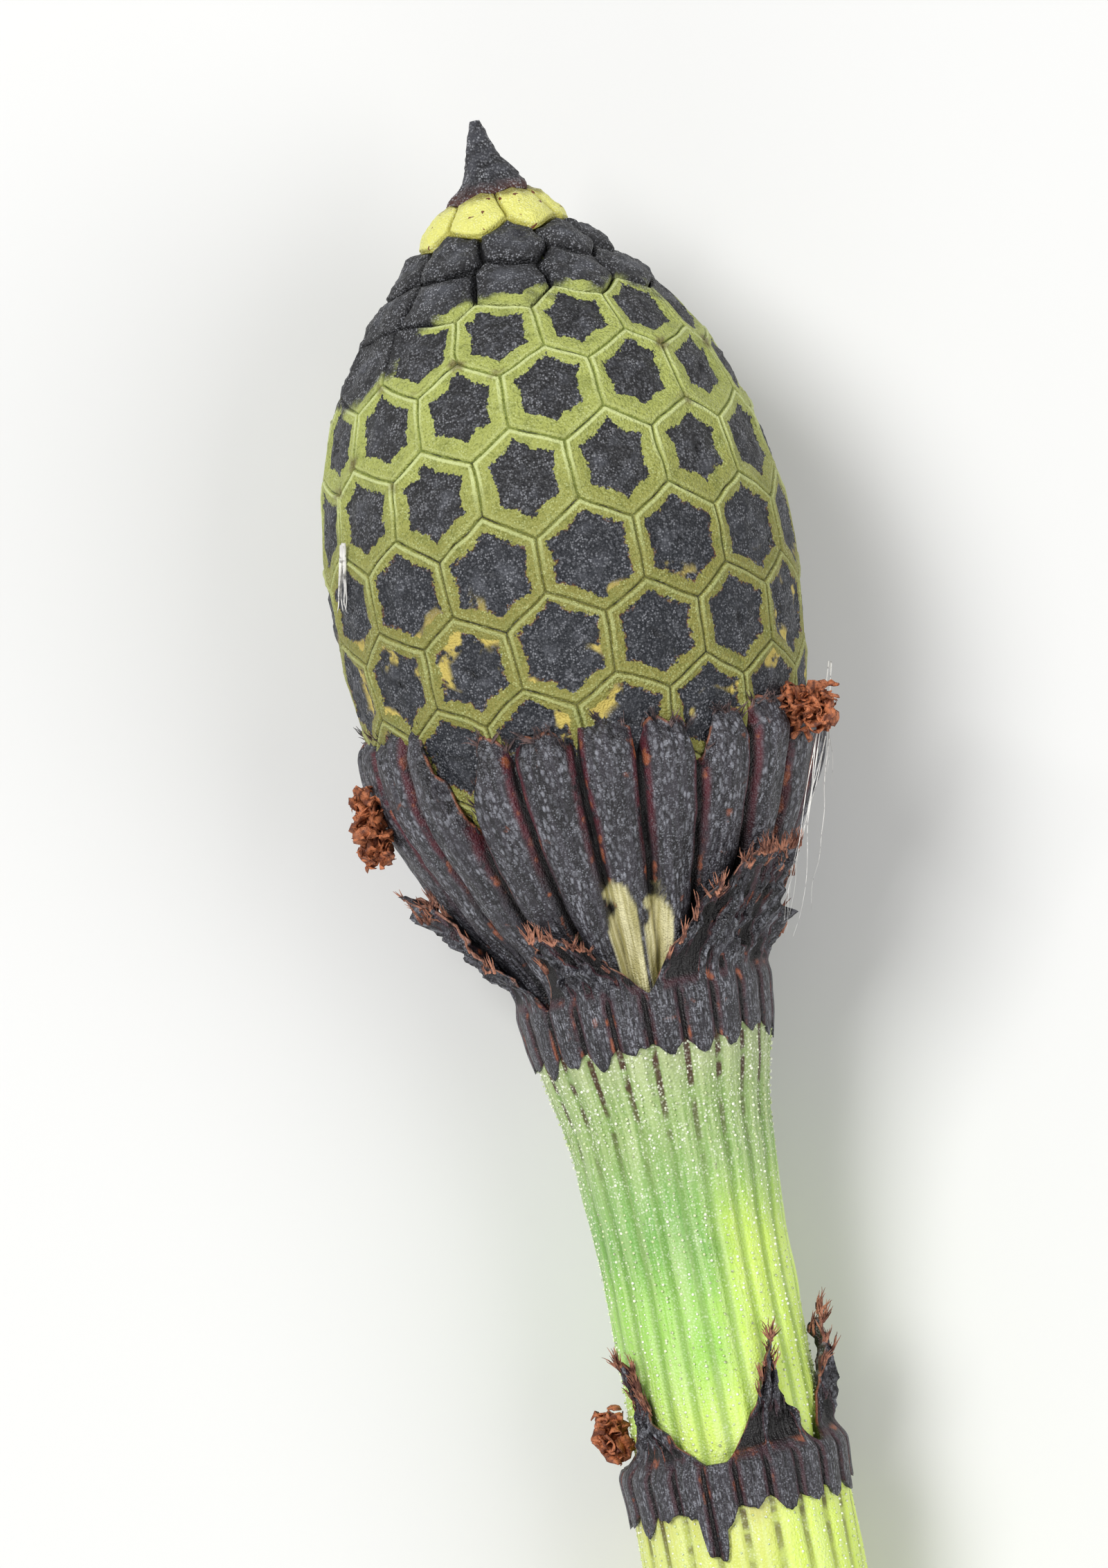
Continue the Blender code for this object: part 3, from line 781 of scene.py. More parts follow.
@dataclass(frozen=True)
class CrownFinish:
    """Plump lemon-yellow cells with painted shade towards their edges, greener next to the beak,
    with small brown spots.
    """

    effects: SharedEffects
    flesh: Colour = rgb(228, 226, 122)
    shade: Colour = rgb(178, 172, 74)
    olive: Colour = rgb(140, 132, 50)
    spot: Colour = rgb(110, 56, 24)

    def material(self) -> bpy.types.Material:
        """Builds the material.

        Returns:
            The material.
        """
        g = SurfaceGraph("crown_whorl")
        where = g.millimetres
        share, depth = g.values("edge_share", "depth")
        grains = g.group(self.effects.sparkle, Vector=where, Speck_Size=0.038, Cover=0.72)
        cloud = g.noise(where, 0.16, 2.0)
        # Painted shade darkens each cell towards its edges
        colour = g.mix(share.step(0.16, 0.0), self.flesh, self.shade)
        colour = g.mix((depth + cloud * 0.3).step(1.62, 1.42), colour, self.olive)
        # Specks: silica's pale colour and painted glints
        colour = g.mix(grains * 0.5, colour, rgb(250, 252, 205))
        colour = g.mix(cloud.step(0.66, 0.70), colour, self.spot)
        height = g.noise(where, 0.06, 2.0) * 0.5 + grains.out("Height")
        return g.finish(colour, 0.5, height, 0.018)


@dataclass(frozen=True)
class BeakFinish:
    """Dark grey, wrinkled and frosted, its specks partly painted glints, with a purplish-brown
    foot.
    """

    effects: SharedEffects
    black: Colour = rgb(26, 26, 30)
    grey: Colour = rgb(60, 61, 68)
    foot: Colour = rgb(78, 42, 34)

    def material(self) -> bpy.types.Material:
        """Builds the material.

        Returns:
            The material.
        """
        g = SurfaceGraph("beak")
        where = g.millimetres
        depth, = g.values("depth")
        grains = g.group(self.effects.sparkle, Vector=where, Speck_Size=0.040, Cover=0.74)
        cloud = g.noise(where, 0.22, 3.0)
        colour = g.mix(cloud.step(0.38, 0.64), self.black, self.grey)
        colour = g.mix((depth + cloud * 0.5).step(1.22, 1.55), colour, self.foot)
        # Specks: frost and painted glints
        colour = g.mix(grains * 0.7, colour, rgb(186, 188, 194))
        return g.finish(colour, 0.58, cloud + grains.out("Height"), 0.026)


@dataclass(frozen=True)
class SheathFinish:
    """Black papery bracts with silvery ribs whose specks are partly painted glints, dark red
    furrows with painted shade deep in them and in the creases, and rust at the edges.
    """

    effects: SharedEffects
    name: str
    wine: float = 0.85
    wine_until: float = 11.9
    rust: float = 0.20
    edge: Colour = rgb(150, 92, 66)
    dark: Colour = rgb(22, 20, 24)
    grey: Colour = rgb(52, 49, 56)
    # Near black: painted shade deep in the furrows and creases
    furrow: Colour = rgb(13, 9, 11)
    wine_red: Colour = rgb(88, 30, 42)
    rusty: Colour = rgb(146, 80, 50)
    silver: Colour = rgb(198, 201, 212)
    pale_base: Colour = rgb(226, 219, 172)
    pale_shade: Colour = rgb(176, 168, 112)

    def material(self) -> bpy.types.Material:
        """Builds the material from the furrow, rim and pale values of the mesh.

        Returns:
            The material.
        """
        g = SurfaceGraph(self.name)
        where, grain = g.millimetres, g.grain
        furrow, rim, pale, depth = g.values("furrow", "rim", "pale", "depth")
        streaks = g.group(self.effects.sparkle, Vector=grain * (2.6, 2.6, 0.40),
                          Speck_Size=0.046, Cover=0.72)
        grains = g.group(self.effects.sparkle, Vector=where, Speck_Size=0.034, Cover=0.70)
        fibre = g.group(self.effects.fibre, Vector=grain, Lines=44.0, Length=0.9)
        cloud = g.noise(where, 0.26, 3.0)

        colour = g.mix(fibre, self.dark, self.grey)
        flanks = furrow.step(0.14, 0.40) * (depth + cloud).step(self.wine_until + 1.3,
                                                                 self.wine_until - 0.3)
        colour = g.mix(flanks * cloud.step(0.30, 0.52) * self.wine, colour, self.wine_red)
        colour = g.group(self.effects.withering, Vector=where, Colour=colour, Rust=self.rusty,
                         Patch_Size=0.34, Amount=furrow.step(0.22, 0.5) * self.rust)
        on_rib = furrow.step(0.45, 0.06)
        # Silver specks on the ribs: their pale colour and painted glints
        colour = g.mix(streaks * on_rib * 0.42, colour, self.silver)
        colour = g.mix(grains * (on_rib * 0.24 + 0.12), colour, self.silver)
        # Painted shade deep in the furrows and creases
        colour = g.mix(furrow.step(0.52, 0.80), colour, self.furrow)
        flesh = g.mix(fibre, self.pale_shade, self.pale_base)
        colour = g.mix(pale, colour, flesh)
        edge = rim.step(0.25, 0.8) * cloud.step(0.38, 0.56)
        colour = g.mix(edge * 0.85, colour, self.edge)
        height = fibre.out("Height") * 0.9 + streaks.out("Height") * 0.5
        return g.finish(colour, 0.5, height + grains.out("Height") * 0.4, 0.036,
                        Specular_IOR_Level=0.55)


@dataclass(frozen=True)
class StemFinish:
    """Frosted green rind, its frost's specks partly painted glints, that turns lime down the stem,
    with painted shade making it a little darker in its furrows.
    """

    effects: SharedEffects
    name: str
    stops: tuple[tuple[float, Colour], ...]
    furrow: Colour = rgb(104, 142, 56)
    lit_side: Colour = rgb(224, 250, 104)
    lit_from: float = 16.6
    brown_furrows_until: float = 17.6

    def material(self) -> bpy.types.Material:
        """Builds the material, whose colours follow the depth down the stem.

        Returns:
            The material.
        """
        g = SurfaceGraph(self.name)
        where, grain = g.millimetres, g.grain
        depth, furrow, pith, canal = g.values("depth", "furrow", "pith", "vein_canal")
        fibre = g.group(self.effects.fibre, Vector=grain, Lines=22.0, Length=1.6)
        grains = g.group(self.effects.sparkle, Vector=where, Speck_Size=0.042, Cover=0.70)
        cloud = g.noise(where, 1.1, 3.0) - 0.5

        drifted = depth + cloud * 1.1
        colour = self.stops[0][1]
        for (start, _), (end, shade) in zip(self.stops, self.stops[1:]):
            colour = g.mix(drifted.step(start, end), colour, shade)
        lit = (g.axes(grain)[0] + cloud * 0.5).step(0.0, 0.55)
        lit = lit * drifted.step(self.lit_from, self.lit_from + 2.2)
        colour = g.mix(lit * 0.8, colour, self.lit_side)
        colour = g.mix(fibre * 0.28, colour, rgb(232, 244, 186))
        # Painted shade darkens the furrows
        colour = g.mix(furrow.step(0.30, 0.95) * 0.50, colour, self.furrow)
        # The furrows turn dark brown just below each sheath, fading down the stem
        brown_furrows = furrow.step(0.70, 0.92) * depth.step(self.brown_furrows_until, self.brown_furrows_until - 2.2)
        brown_furrows = brown_furrows * g.noise(grain, 0.35, 2.0).step(0.38, 0.52)
        colour = g.mix(brown_furrows, colour, rgb(70, 44, 24))
        # Frost: silica's pale colour and painted glints
        frost = grains * (depth.step(19.5, 15.5) * 0.5 + 0.35)
        colour = g.mix(frost, colour, rgb(242, 248, 224))
        colour = g.mix(pith, colour, rgb(222, 224, 176))
        # Painted shade: the canals' openings on the cut end, which the mesh doesn't cut
        colour = g.mix(canal.step(0.30, 0.62), colour, rgb(66, 54, 34))
        height = fibre.out("Height") * 0.7 + grains.out("Height") * 0.6
        return g.finish(colour, 0.44, height, 0.022, Specular_IOR_Level=0.5)


@dataclass(frozen=True)
class TissueFinish:
    """A plain tissue whose tone changes softly, with painted shade in its folds, where its relief
    is low.
    """

    name: str
    dark: Colour
    light: Colour
    size: float
    roughness: float
    relief: float

    def material(self) -> bpy.types.Material:
        """Builds the material.

        Returns:
            The material.
        """
        g = SurfaceGraph(self.name)
        where = g.millimetres
        colour = g.mix(g.noise(where, self.size, 3.0).step(0.36, 0.64), self.dark, self.light)
        fine = g.noise(where, self.size / 4, 2.0)
        # Painted shade where the relief's height is low
        colour = g.mix(fine.step(0.46, 0.30) * 0.7, colour,
                       tuple(channel * 0.25 for channel in self.dark))
        return g.finish(colour, self.roughness, fine, self.relief)


@dataclass(frozen=True)
class Relief:
    """How a shield's face stands over the cone, by how far in from its edge it is."""

    seam: float
    seam_width: float
    ridge: float = 0.0
    drop: float = 0.0
    swell: float = 0.0
    overlap: float = 0.0
    crumple: float = 0.0
    slit: float = 0.0

    def height(self, share: np.ndarray, along: np.ndarray, slit: np.ndarray,
               rough: tuple[np.ndarray, np.ndarray]) -> np.ndarray:
        """Finds the height.

        Args:
            share: How far in from the edge, from 0 to 1 at the centre.
            along: How far towards the shoot's foot from the centre.
            slit: How near to the slit in the middle, from 0 to 1.
            rough: Coarse and fine noise, from -1 to 1.

        Returns:
            The height over the cone at each point.
        """
        tipward = 0.4 + 0.6 * np.clip(-along / 0.5, 0, 1)
        height = -self.seam * (1 - ease(share, 0.0, self.seam_width))
        height = height + self.ridge * tipward * bell(share, 0.075, 0.032)
        height = height - self.drop * (ease(share, 0.20, 0.38) - 0.9 * ease(share, 0.42, 0.72))
        height = height + self.swell * ease(share, 0.02, 0.62)
        height = height + self.overlap * np.clip(along / 0.3, -1, 1) * ease(share, 0, 0.1)
        height = height - self.slit * (slit + 0.6 * ease(share, 0.72, 1.0))
        wrinkles = 0.008 * np.sin(share * 44 + rough[0] * 5) * ease(share, 0.36, 0.5)
        inner = ease(share, 0.0, 0.16)
        return height + wrinkles + (self.crumple * rough[0] + 0.014 * rough[1]) * inner


@dataclass
class Cone:
    """The cone of shields with its yellow crown and its black beak."""

    effects: SharedEffects
    whorls: tuple[tuple[float, int, float], ...] = (
        (2.19, 9, 8.0), (2.80, 11, 1.0), (3.62, 13, -7.0), (4.70, 14, 6.0),
        (6.02, 15, -5.0), (7.35, 15, 7.0), (8.68, 15, -4.0), (10.0, 15, 9.0),
        (11.2, 15, -3.0),
    )
    crown_whorl: tuple[float, int, float] = (1.62, 7, -16.0)
    beak_whorl: tuple[float, int, float] = (0.95, 7, 10.0)
    hidden_whorl: tuple[float, int, float] = (12.4, 15, 9.0)
    whorl_tilt: float = 0.07
    jitter: float = 0.05
    seed: int = 7
    edge_steps: int = 8
    ring_shares: tuple[float, ...] = (
        0.0, 0.018, 0.042, 0.075, 0.11, 0.16, 0.22, 0.30, 0.39, 0.49, 0.61, 0.75, 0.89,
    )
    open_relief: Relief = Relief(seam=0.030, seam_width=0.040, ridge=0.030, drop=0.044,
                                 crumple=0.016, slit=0.045)
    brick_relief: Relief = Relief(seam=0.15, seam_width=0.13, swell=0.085, overlap=0.03,
                                  crumple=0.050)
    crown_relief: Relief = Relief(seam=0.07, seam_width=0.10, swell=0.075, crumple=0.012)
    beak_folds: float = 0.13
    beak_grain: float = 0.05
    beak_bulge: float = 0.16
    bricks_end: float = 3.3
    bricks_fade: float = 0.5
    wander: float = 0.030
    wander_size: float = 0.34
    slit_width: float = 0.035
    slit_length: float = 0.13

    def centres(self) -> list[tuple[float, float]]:
        """Each shield's (turn, depth), whorl by whorl, a little out of true.

        Returns:
            The centres, from the beak's whorl down to the hidden one.
        """
        draw = random.Random(self.seed)
        centres = []
        whorls = (self.beak_whorl, self.crown_whorl, *self.whorls, self.hidden_whorl)
        for depth, count, phase in whorls:
            for k in range(count):
                turn = phase + k * 360.0 / count
                tilt = -self.whorl_tilt * math.sin(math.radians(turn))
                slip = draw.uniform(-self.jitter, self.jitter)
                swing = math.degrees(draw.uniform(-self.jitter, self.jitter) / 3.7)
                centres.append((turn + swing, depth + tilt + slip))
        return centres

    @staticmethod
    def unrolled() -> tuple[np.ndarray, np.ndarray]:
        """Depths, and how far along a plan of the cone that keeps its angles each one is.

        Returns:
            The depths, and the distance along the plan for each.
        """
        depth = np.linspace(0.0, 14.3, 1500)
        radius = CONE_RADIUS(depth)
        slant = np.hypot(1.0, np.gradient(radius, depth))
        steps = np.diff(depth) * (slant[1:] / radius[1:] + slant[:-1] / radius[:-1]) / 2
        return depth, np.concatenate([[0.0], np.cumsum(steps)])

    def outlines(self, centres: list[tuple[float, float]]) -> list[np.ndarray]:
        """Finds the outline of each shield.

        Args:
            centres: The shields' (turn, depth) centres.

        Returns:
            For each shield its (turn, depth) corners in order: the places that are nearer
            to its centre than to any other.
        """
        depths, plan = self.unrolled()
        points = [
            Vector((math.radians(float(away(turn, 0.0))) + lap * math.tau,
                    float(np.interp(depth, depths, plan))))
            for lap in (-1, 0, 1) for turn, depth in centres
        ]
        around = [[] for _ in points]
        for triangle in geometry.delaunay_2d_cdt(points, [], [], 0, 1e-9)[2]:
            a, b, c = (points[i] for i in triangle)
            ab, ac = b - a, c - a
            cross = 2 * (ab.x * ac.y - ab.y * ac.x)
            if abs(cross) < 1e-9:
                continue
            corner = a + Vector((ac.y * ab.length_squared - ab.y * ac.length_squared,
                                 ab.x * ac.length_squared - ac.x * ab.length_squared)) / cross
            for i in triangle:
                around[i].append(corner)
        outlines = []
        for i in range(len(centres), 2 * len(centres)):
            corners = sorted(around[i], key=lambda p: math.atan2(*(p - points[i]).yx))
            outlines.append(np.array(
                [(math.degrees(p.x), float(np.interp(p.y, plan, depths))) for p in corners]))
        return outlines

    def web(self, chosen: range, centres: list, outlines: list,
            only_relief: Relief | None = None) -> Piece:
        """Makes the fine skin of some shields, which share their edges.

        Args:
            chosen: Which shields.
            centres: Every shield's centre.
            outlines: Every shield's outline.
            only_relief: The relief of them all, if it doesn't follow from their depth.

        Returns:
            The skin, still open where other pieces go on.
        """
        web = Piece()
        rough = ValueNoise(11)
        draw = random.Random(self.seed + 1)
        shares = np.array(self.ring_shares)
        along = np.arange(self.edge_steps) / self.edge_steps
        for number in chosen:
            turn, depth = centres[number]
            outline = outlines[number]
            centre = np.array([outline[0, 0] + float(away(turn, outline[0, 0])), depth])
            nxt = np.roll(outline, -1, axis=0)
            edge = outline[:, None] + (nxt - outline)[:, None] * along[None, :, None]
            edge = edge.reshape(-1, 2)
            corner = np.tile(np.abs(2 * along - 1) ** 1.6, len(outline))
            rings = edge[None] + (centre - edge)[None] * shares[:, None, None]
            places = np.concatenate([rings.reshape(-1, 2), centre[None]])
            share = np.concatenate([np.repeat(shares, len(edge)), [1.0]])
            tone, slit_turn = draw.uniform(-1, 1), draw.uniform(0, math.pi)
            points, values = self.raised(places, share, centre, tone, slit_turn, rough,
                                         only_relief)
            last = (len(shares) - 1) * len(edge)
            faces = ring_faces(len(shares), len(edge))
            faces += fan_faces(last, len(places) - 1, len(edge))
            web.add(points, faces, tone=tone, edge_share=share,
                    corner=np.concatenate([np.tile(corner, len(shares)), [0.0]]), **values)
        return web

    def raised(self, places: np.ndarray, share: np.ndarray, centre: np.ndarray, tone: float,
               slit_turn: float, rough: ValueNoise, only_relief: Relief | None) -> tuple:
        """Raises one shield's relief.

        Args:
            places: (turn, depth) of each point.
            share: How far in from the edge each point is, from 0 to 1.
            centre: (turn, depth) of the shield's centre.
            tone: A number from -1 to 1 that is the shield's own.
            slit_turn: Which way the slit in its middle runs, in radians.
            rough: The noise that roughens it.
            only_relief: The relief to use, if it doesn't follow from the depth.

        Returns:
            The raised points, and the values that the finish reads.
        """
        turn, depth = places.T
        radius = CONE_RADIUS(depth)
        base = SHOOT.own(depth, turn, radius)
        turn = turn + np.degrees(self.wander * rough(base + 70.0, self.wander_size) / radius)
        depth = depth + self.wander * rough(base + 90.0, self.wander_size)
        across, along = np.radians(turn - centre[0]) * radius, depth - centre[1]
        noise = rough.layered(base, 0.35), rough(base + 40.0, 0.09)
        wall = float(np.clip((self.bricks_end - centre[1]) / self.bricks_fade, 0, 1))
        slit_across = across * math.cos(slit_turn) + along * math.sin(slit_turn)
        slit_along = along * math.cos(slit_turn) - across * math.sin(slit_turn)
        slit = bell(slit_across, 0, self.slit_width) * bell(slit_along, 0, self.slit_length)
        slit = slit * max(0.0, 0.55 + 0.45 * tone) * (1 - wall)
        if only_relief:
            height = only_relief.height(share, along, slit, noise)
        else:
            height = (1 - wall) * self.open_relief.height(share, along, slit, noise)
            height = height + wall * self.brick_relief.height(share, along, slit, noise)
        tilt = np.arctan((CONE_RADIUS(depth + 0.05) - CONE_RADIUS(depth - 0.05)) / 0.1)
        raised = np.minimum(radius + height * np.cos(tilt), SHOOT.surface_limit(depth, turn))
        # Seam and slit mark the recesses where the finish paints shade
        seam = 1 - ease(share, 0.0, 0.05 + 0.05 * wall)
        values = {
            "footward": np.clip(along / 0.55, -1, 1),
            "depth": depth,
            "hollow": np.maximum(seam, slit),
            "blackened": self.blackened(depth, turn, noise[0]),
        }
        return SHOOT.own(depth - height * np.sin(tilt), turn, raised), values

    @staticmethod
    def blackened(depth: np.ndarray, turn: np.ndarray, noise: np.ndarray) -> np.ndarray:
        """How black the skin is there: the rows down from the crown are really black, and painted
        shade blackens it further down on the left and right sides.

        Args:
            depth: Distance below the tip.
            turn: Angle round the axis, in degrees.
            noise: Noise that makes the border ragged.

        Returns:
            From 0, still green at the rims, to 1, all black.
        """
        # The left and right sides, where the cone turns away, get painted shade further down
        left = ease(np.abs(away(turn, -78.0)), 55.0, 15.0)
        right = ease(np.abs(away(turn, 96.0)), 50.0, 12.0)
        reach = 3.10 + 1.15 * left + 0.5 * right + 0.30 * noise
        return 1 - ease(depth, reach - 0.16, reach + 0.10)

    @staticmethod
    def rims(web: Piece) -> tuple[list[int], list[int]]:
        """The skin's two open edges as point numbers in turn order, the tip's end first.

        Args:
            web: The skin.

        Returns:
            The tip's end and the foot's end.
        """
        points = np.concatenate(web.points)
        keys: dict[tuple, int] = {}
        rounded = map(tuple, np.round(points / SAME_POINT).astype(int))
        same = [keys.setdefault(key, i) for i, key in enumerate(rounded)]
        uses: dict[tuple, int] = {}
        for face in web.faces:
            for a, b in zip(face, face[1:] + face[:1]):
                edge = (min(same[a], same[b]), max(same[a], same[b]))
                uses[edge] = uses.get(edge, 0) + 1
        on_edge = sorted({i for edge, count in uses.items() if count == 1 for i in edge})
        on_edge.sort(key=lambda i: math.atan2(points[i, 0], points[i, 2]))
        middle = np.mean(points[on_edge, 1])
        top = [i for i in on_edge if points[i, 1] > middle]
        return top, [i for i in on_edge if points[i, 1] <= middle]

    @staticmethod
    def close(web: Piece, rim: np.ndarray, depth: float) -> None:
        """Closes one open edge, given by its points, with a fan to the axis.

        Args:
            web: The skin.
            rim: The points of the open edge.
            depth: Where the fan's centre lies.
        """
        centre = SHOOT.own(depth, 0.0, 0.0).reshape(1, 3)
        web.add(np.concatenate([rim, centre]), fan_faces(0, len(rim), len(rim)), corner=0,
                tone=0, edge_share=0, footward=0, depth=depth, hollow=1, blackened=1)

    def build(self) -> None:
        """Builds the shields, the crown and the beak."""
        centres = self.centres()
        outlines = self.outlines(centres)
        crown_from = self.beak_whorl[1]
        cone_from = crown_from + self.crown_whorl[1]
        cone_to = len(centres) - self.hidden_whorl[1]
        skins = (
            ("cone_skin", range(cone_from, cone_to), None, ShieldFinish, Slot.SHIELDS, "cone"),
            ("crown_skin", range(crown_from, cone_from), self.crown_relief, CrownFinish,
             Slot.CROWN, "crown_whorl"),
        )
        for name, chosen, relief, finish, slot, node in skins:
            web = self.web(chosen, centres, outlines, relief)
            points = np.concatenate(web.points)
            top, bottom = (points[rim] for rim in self.rims(web))
            for rim, inward in ((top, 0.0), (bottom, 0.2)):
                self.close(web, rim, SHOOT_LENGTH / 2 - float(rim[:, 1].mean()) + inward)
            dress(web.finish(name, finish(self.effects).material()), slot, node)
        self.build_beak(top)

    def build_beak(self, foot: np.ndarray, rings: int = 46) -> None:
        """Builds the withered point on top, from the crown's upper edge.

        Args:
            foot: The points of the crown's upper edge, in turn order.
            rings: How many rings the beak has.
        """
        rough = ValueNoise(23)
        turns = np.degrees(np.arctan2(foot[:, 0], foot[:, 2]))
        foot_depth = SHOOT_LENGTH / 2 - foot[:, 1]
        foot_radius = np.hypot(foot[:, 0], foot[:, 2])
        layers, depths = [], []
        for share in 1 - np.linspace(1, 0, rings) ** 1.2:
            depth = foot_depth * (1 - share)
            loose = max(0.0, 1 - share * 5) ** 2
            radius = CONE_RADIUS(depth) * (1 - loose) + (foot_radius + 0.035) * loose
            here = SHOOT.own(depth, turns, radius)
            folds = self.beak_folds * rough.layered(here + 3.0, 0.30)
            folds = folds + self.beak_grain * rough(here, 0.07)
            bulge = self.beak_bulge * math.sin(math.pi * min(1.0, share * 1.25))
            bulge = bulge * np.sin(np.radians(turns))
            faded = (1 - 0.5 * loose) * (1 - ease(share, 0.9, 1.0))
            radius = np.maximum(radius * (1 + (folds + bulge) * faded), 0.02)
            layers.append(SHOOT.own(depth, turns, radius))
            depths.append(depth)
        count, base = len(turns), float(foot_depth.mean())
        ends = SHOOT.own(np.array([0.0, base]), 0.0, 0.0)
        faces = ring_faces(rings, count) + fan_faces((rings - 1) * count, rings * count, count)
        faces += fan_faces(0, rings * count + 1, count)
        beak = Piece()
        beak.add(np.concatenate([*layers, ends]), faces,
                 depth=np.concatenate([*depths, [0.0, base]]))
        dress(beak.finish("beak_skin", BeakFinish(self.effects).material()), Slot.BEAK, "beak")


@dataclass
class Wall:
    """The outer face of a sheath: rows of places from its foot up to its torn rim."""

    depth: np.ndarray
    turn: np.ndarray
    radius: np.ndarray
    thickness: np.ndarray
    furrow: np.ndarray
    rim: np.ndarray
    pale: np.ndarray

    def skin(self, name: str, material: bpy.types.Material) -> bpy.types.Object:
        """The closed wall, with an outside, a rim and an inside.

        Args:
            name: The piece's name.
            material: Its finish.

        Returns:
            The new object.
        """
        outer = np.minimum(self.radius, SHOOT.surface_limit(self.depth, self.turn))
        rows, columns = outer.shape
        back = np.arange(rows - 1, -1, -3)
        order = np.concatenate([np.arange(rows), back])
        radius = np.concatenate([outer, (outer - self.thickness)[back]])
        piece = Piece()
        piece.add(SHOOT.own(self.depth[order], self.turn[order], radius).reshape(-1, 3),
                  ring_faces(len(order), columns, joined=True),
                  **{value: getattr(self, value)[order].ravel()
                     for value in ("depth", "furrow", "rim", "pale")})
        return piece.finish(name, material)

    def edge_lines(self, count: int, length: tuple[float, float], seed: int,
                   least_height: float = 0.0) -> Lines:
        """Short lines that stand off the rim, for loose fibres to follow.

        Args:
            count: How many lines to draw.
            length: The shortest and the longest line.
            seed: The seed of their places.
            least_height: How far the rim must stand over its lowest part to bear a line.

        Returns:
            Pairs of points along the shoot's own axes.
        """
        draw = np.random.default_rng(seed)
        depth, turn, radius = self.depth[-1], self.turn[-1], self.radius[-1]
        off_the_ground = np.cos(np.radians(turn)) > -0.5
        bearing = np.flatnonzero((depth.max() - depth >= least_height) & off_the_ground)
        lines = []
        for k in draw.choice(bearing, count):
            reach, out = draw.uniform(*length), draw.uniform(-0.02, 0.16)
            start = SHOOT.own(depth[k] + 0.08, turn[k], radius[k] - 0.02)
            end = SHOOT.own(depth[k] - reach, turn[k] + draw.uniform(-4, 4), radius[k] + out)
            lines.append((start, end))
        return lines


@dataclass
class Sheath:
    """A ring of dry bracts round the shoot: what the three sheaths share."""

    effects: SharedEffects
    phase: float = -1.0
    columns_per_rib: int = 20
    seed: int = 31

    def __post_init__(self) -> None:
        """Draws the noises and finds the turns of the columns."""
        self.rough = ValueNoise(self.seed)
        count = RIBS * self.columns_per_rib
        self.turns = self.phase + np.arange(count) * 360.0 / count

    def across(self, turn: np.ndarray) -> np.ndarray:
        """How far across its rib a turn is, from 0 in one furrow to 1 in the next."""
        return ((turn - self.phase) / RIB_TURN) % 1.0

    def rib_draw(self, turn: np.ndarray, salt: int) -> np.ndarray:
        """A number from -1 to 1 for the rib that a turn lies on."""
        values = np.random.default_rng(self.seed + salt).uniform(-1, 1, RIBS)
        return values[np.floor((turn - self.phase) / RIB_TURN).astype(int) % RIBS]

    def gap(self, turn: np.ndarray, radius: np.ndarray) -> np.ndarray:
        """The distance to the nearest furrow."""
        share = self.across(turn)
        return np.minimum(share, 1 - share) * math.radians(RIB_TURN) * radius


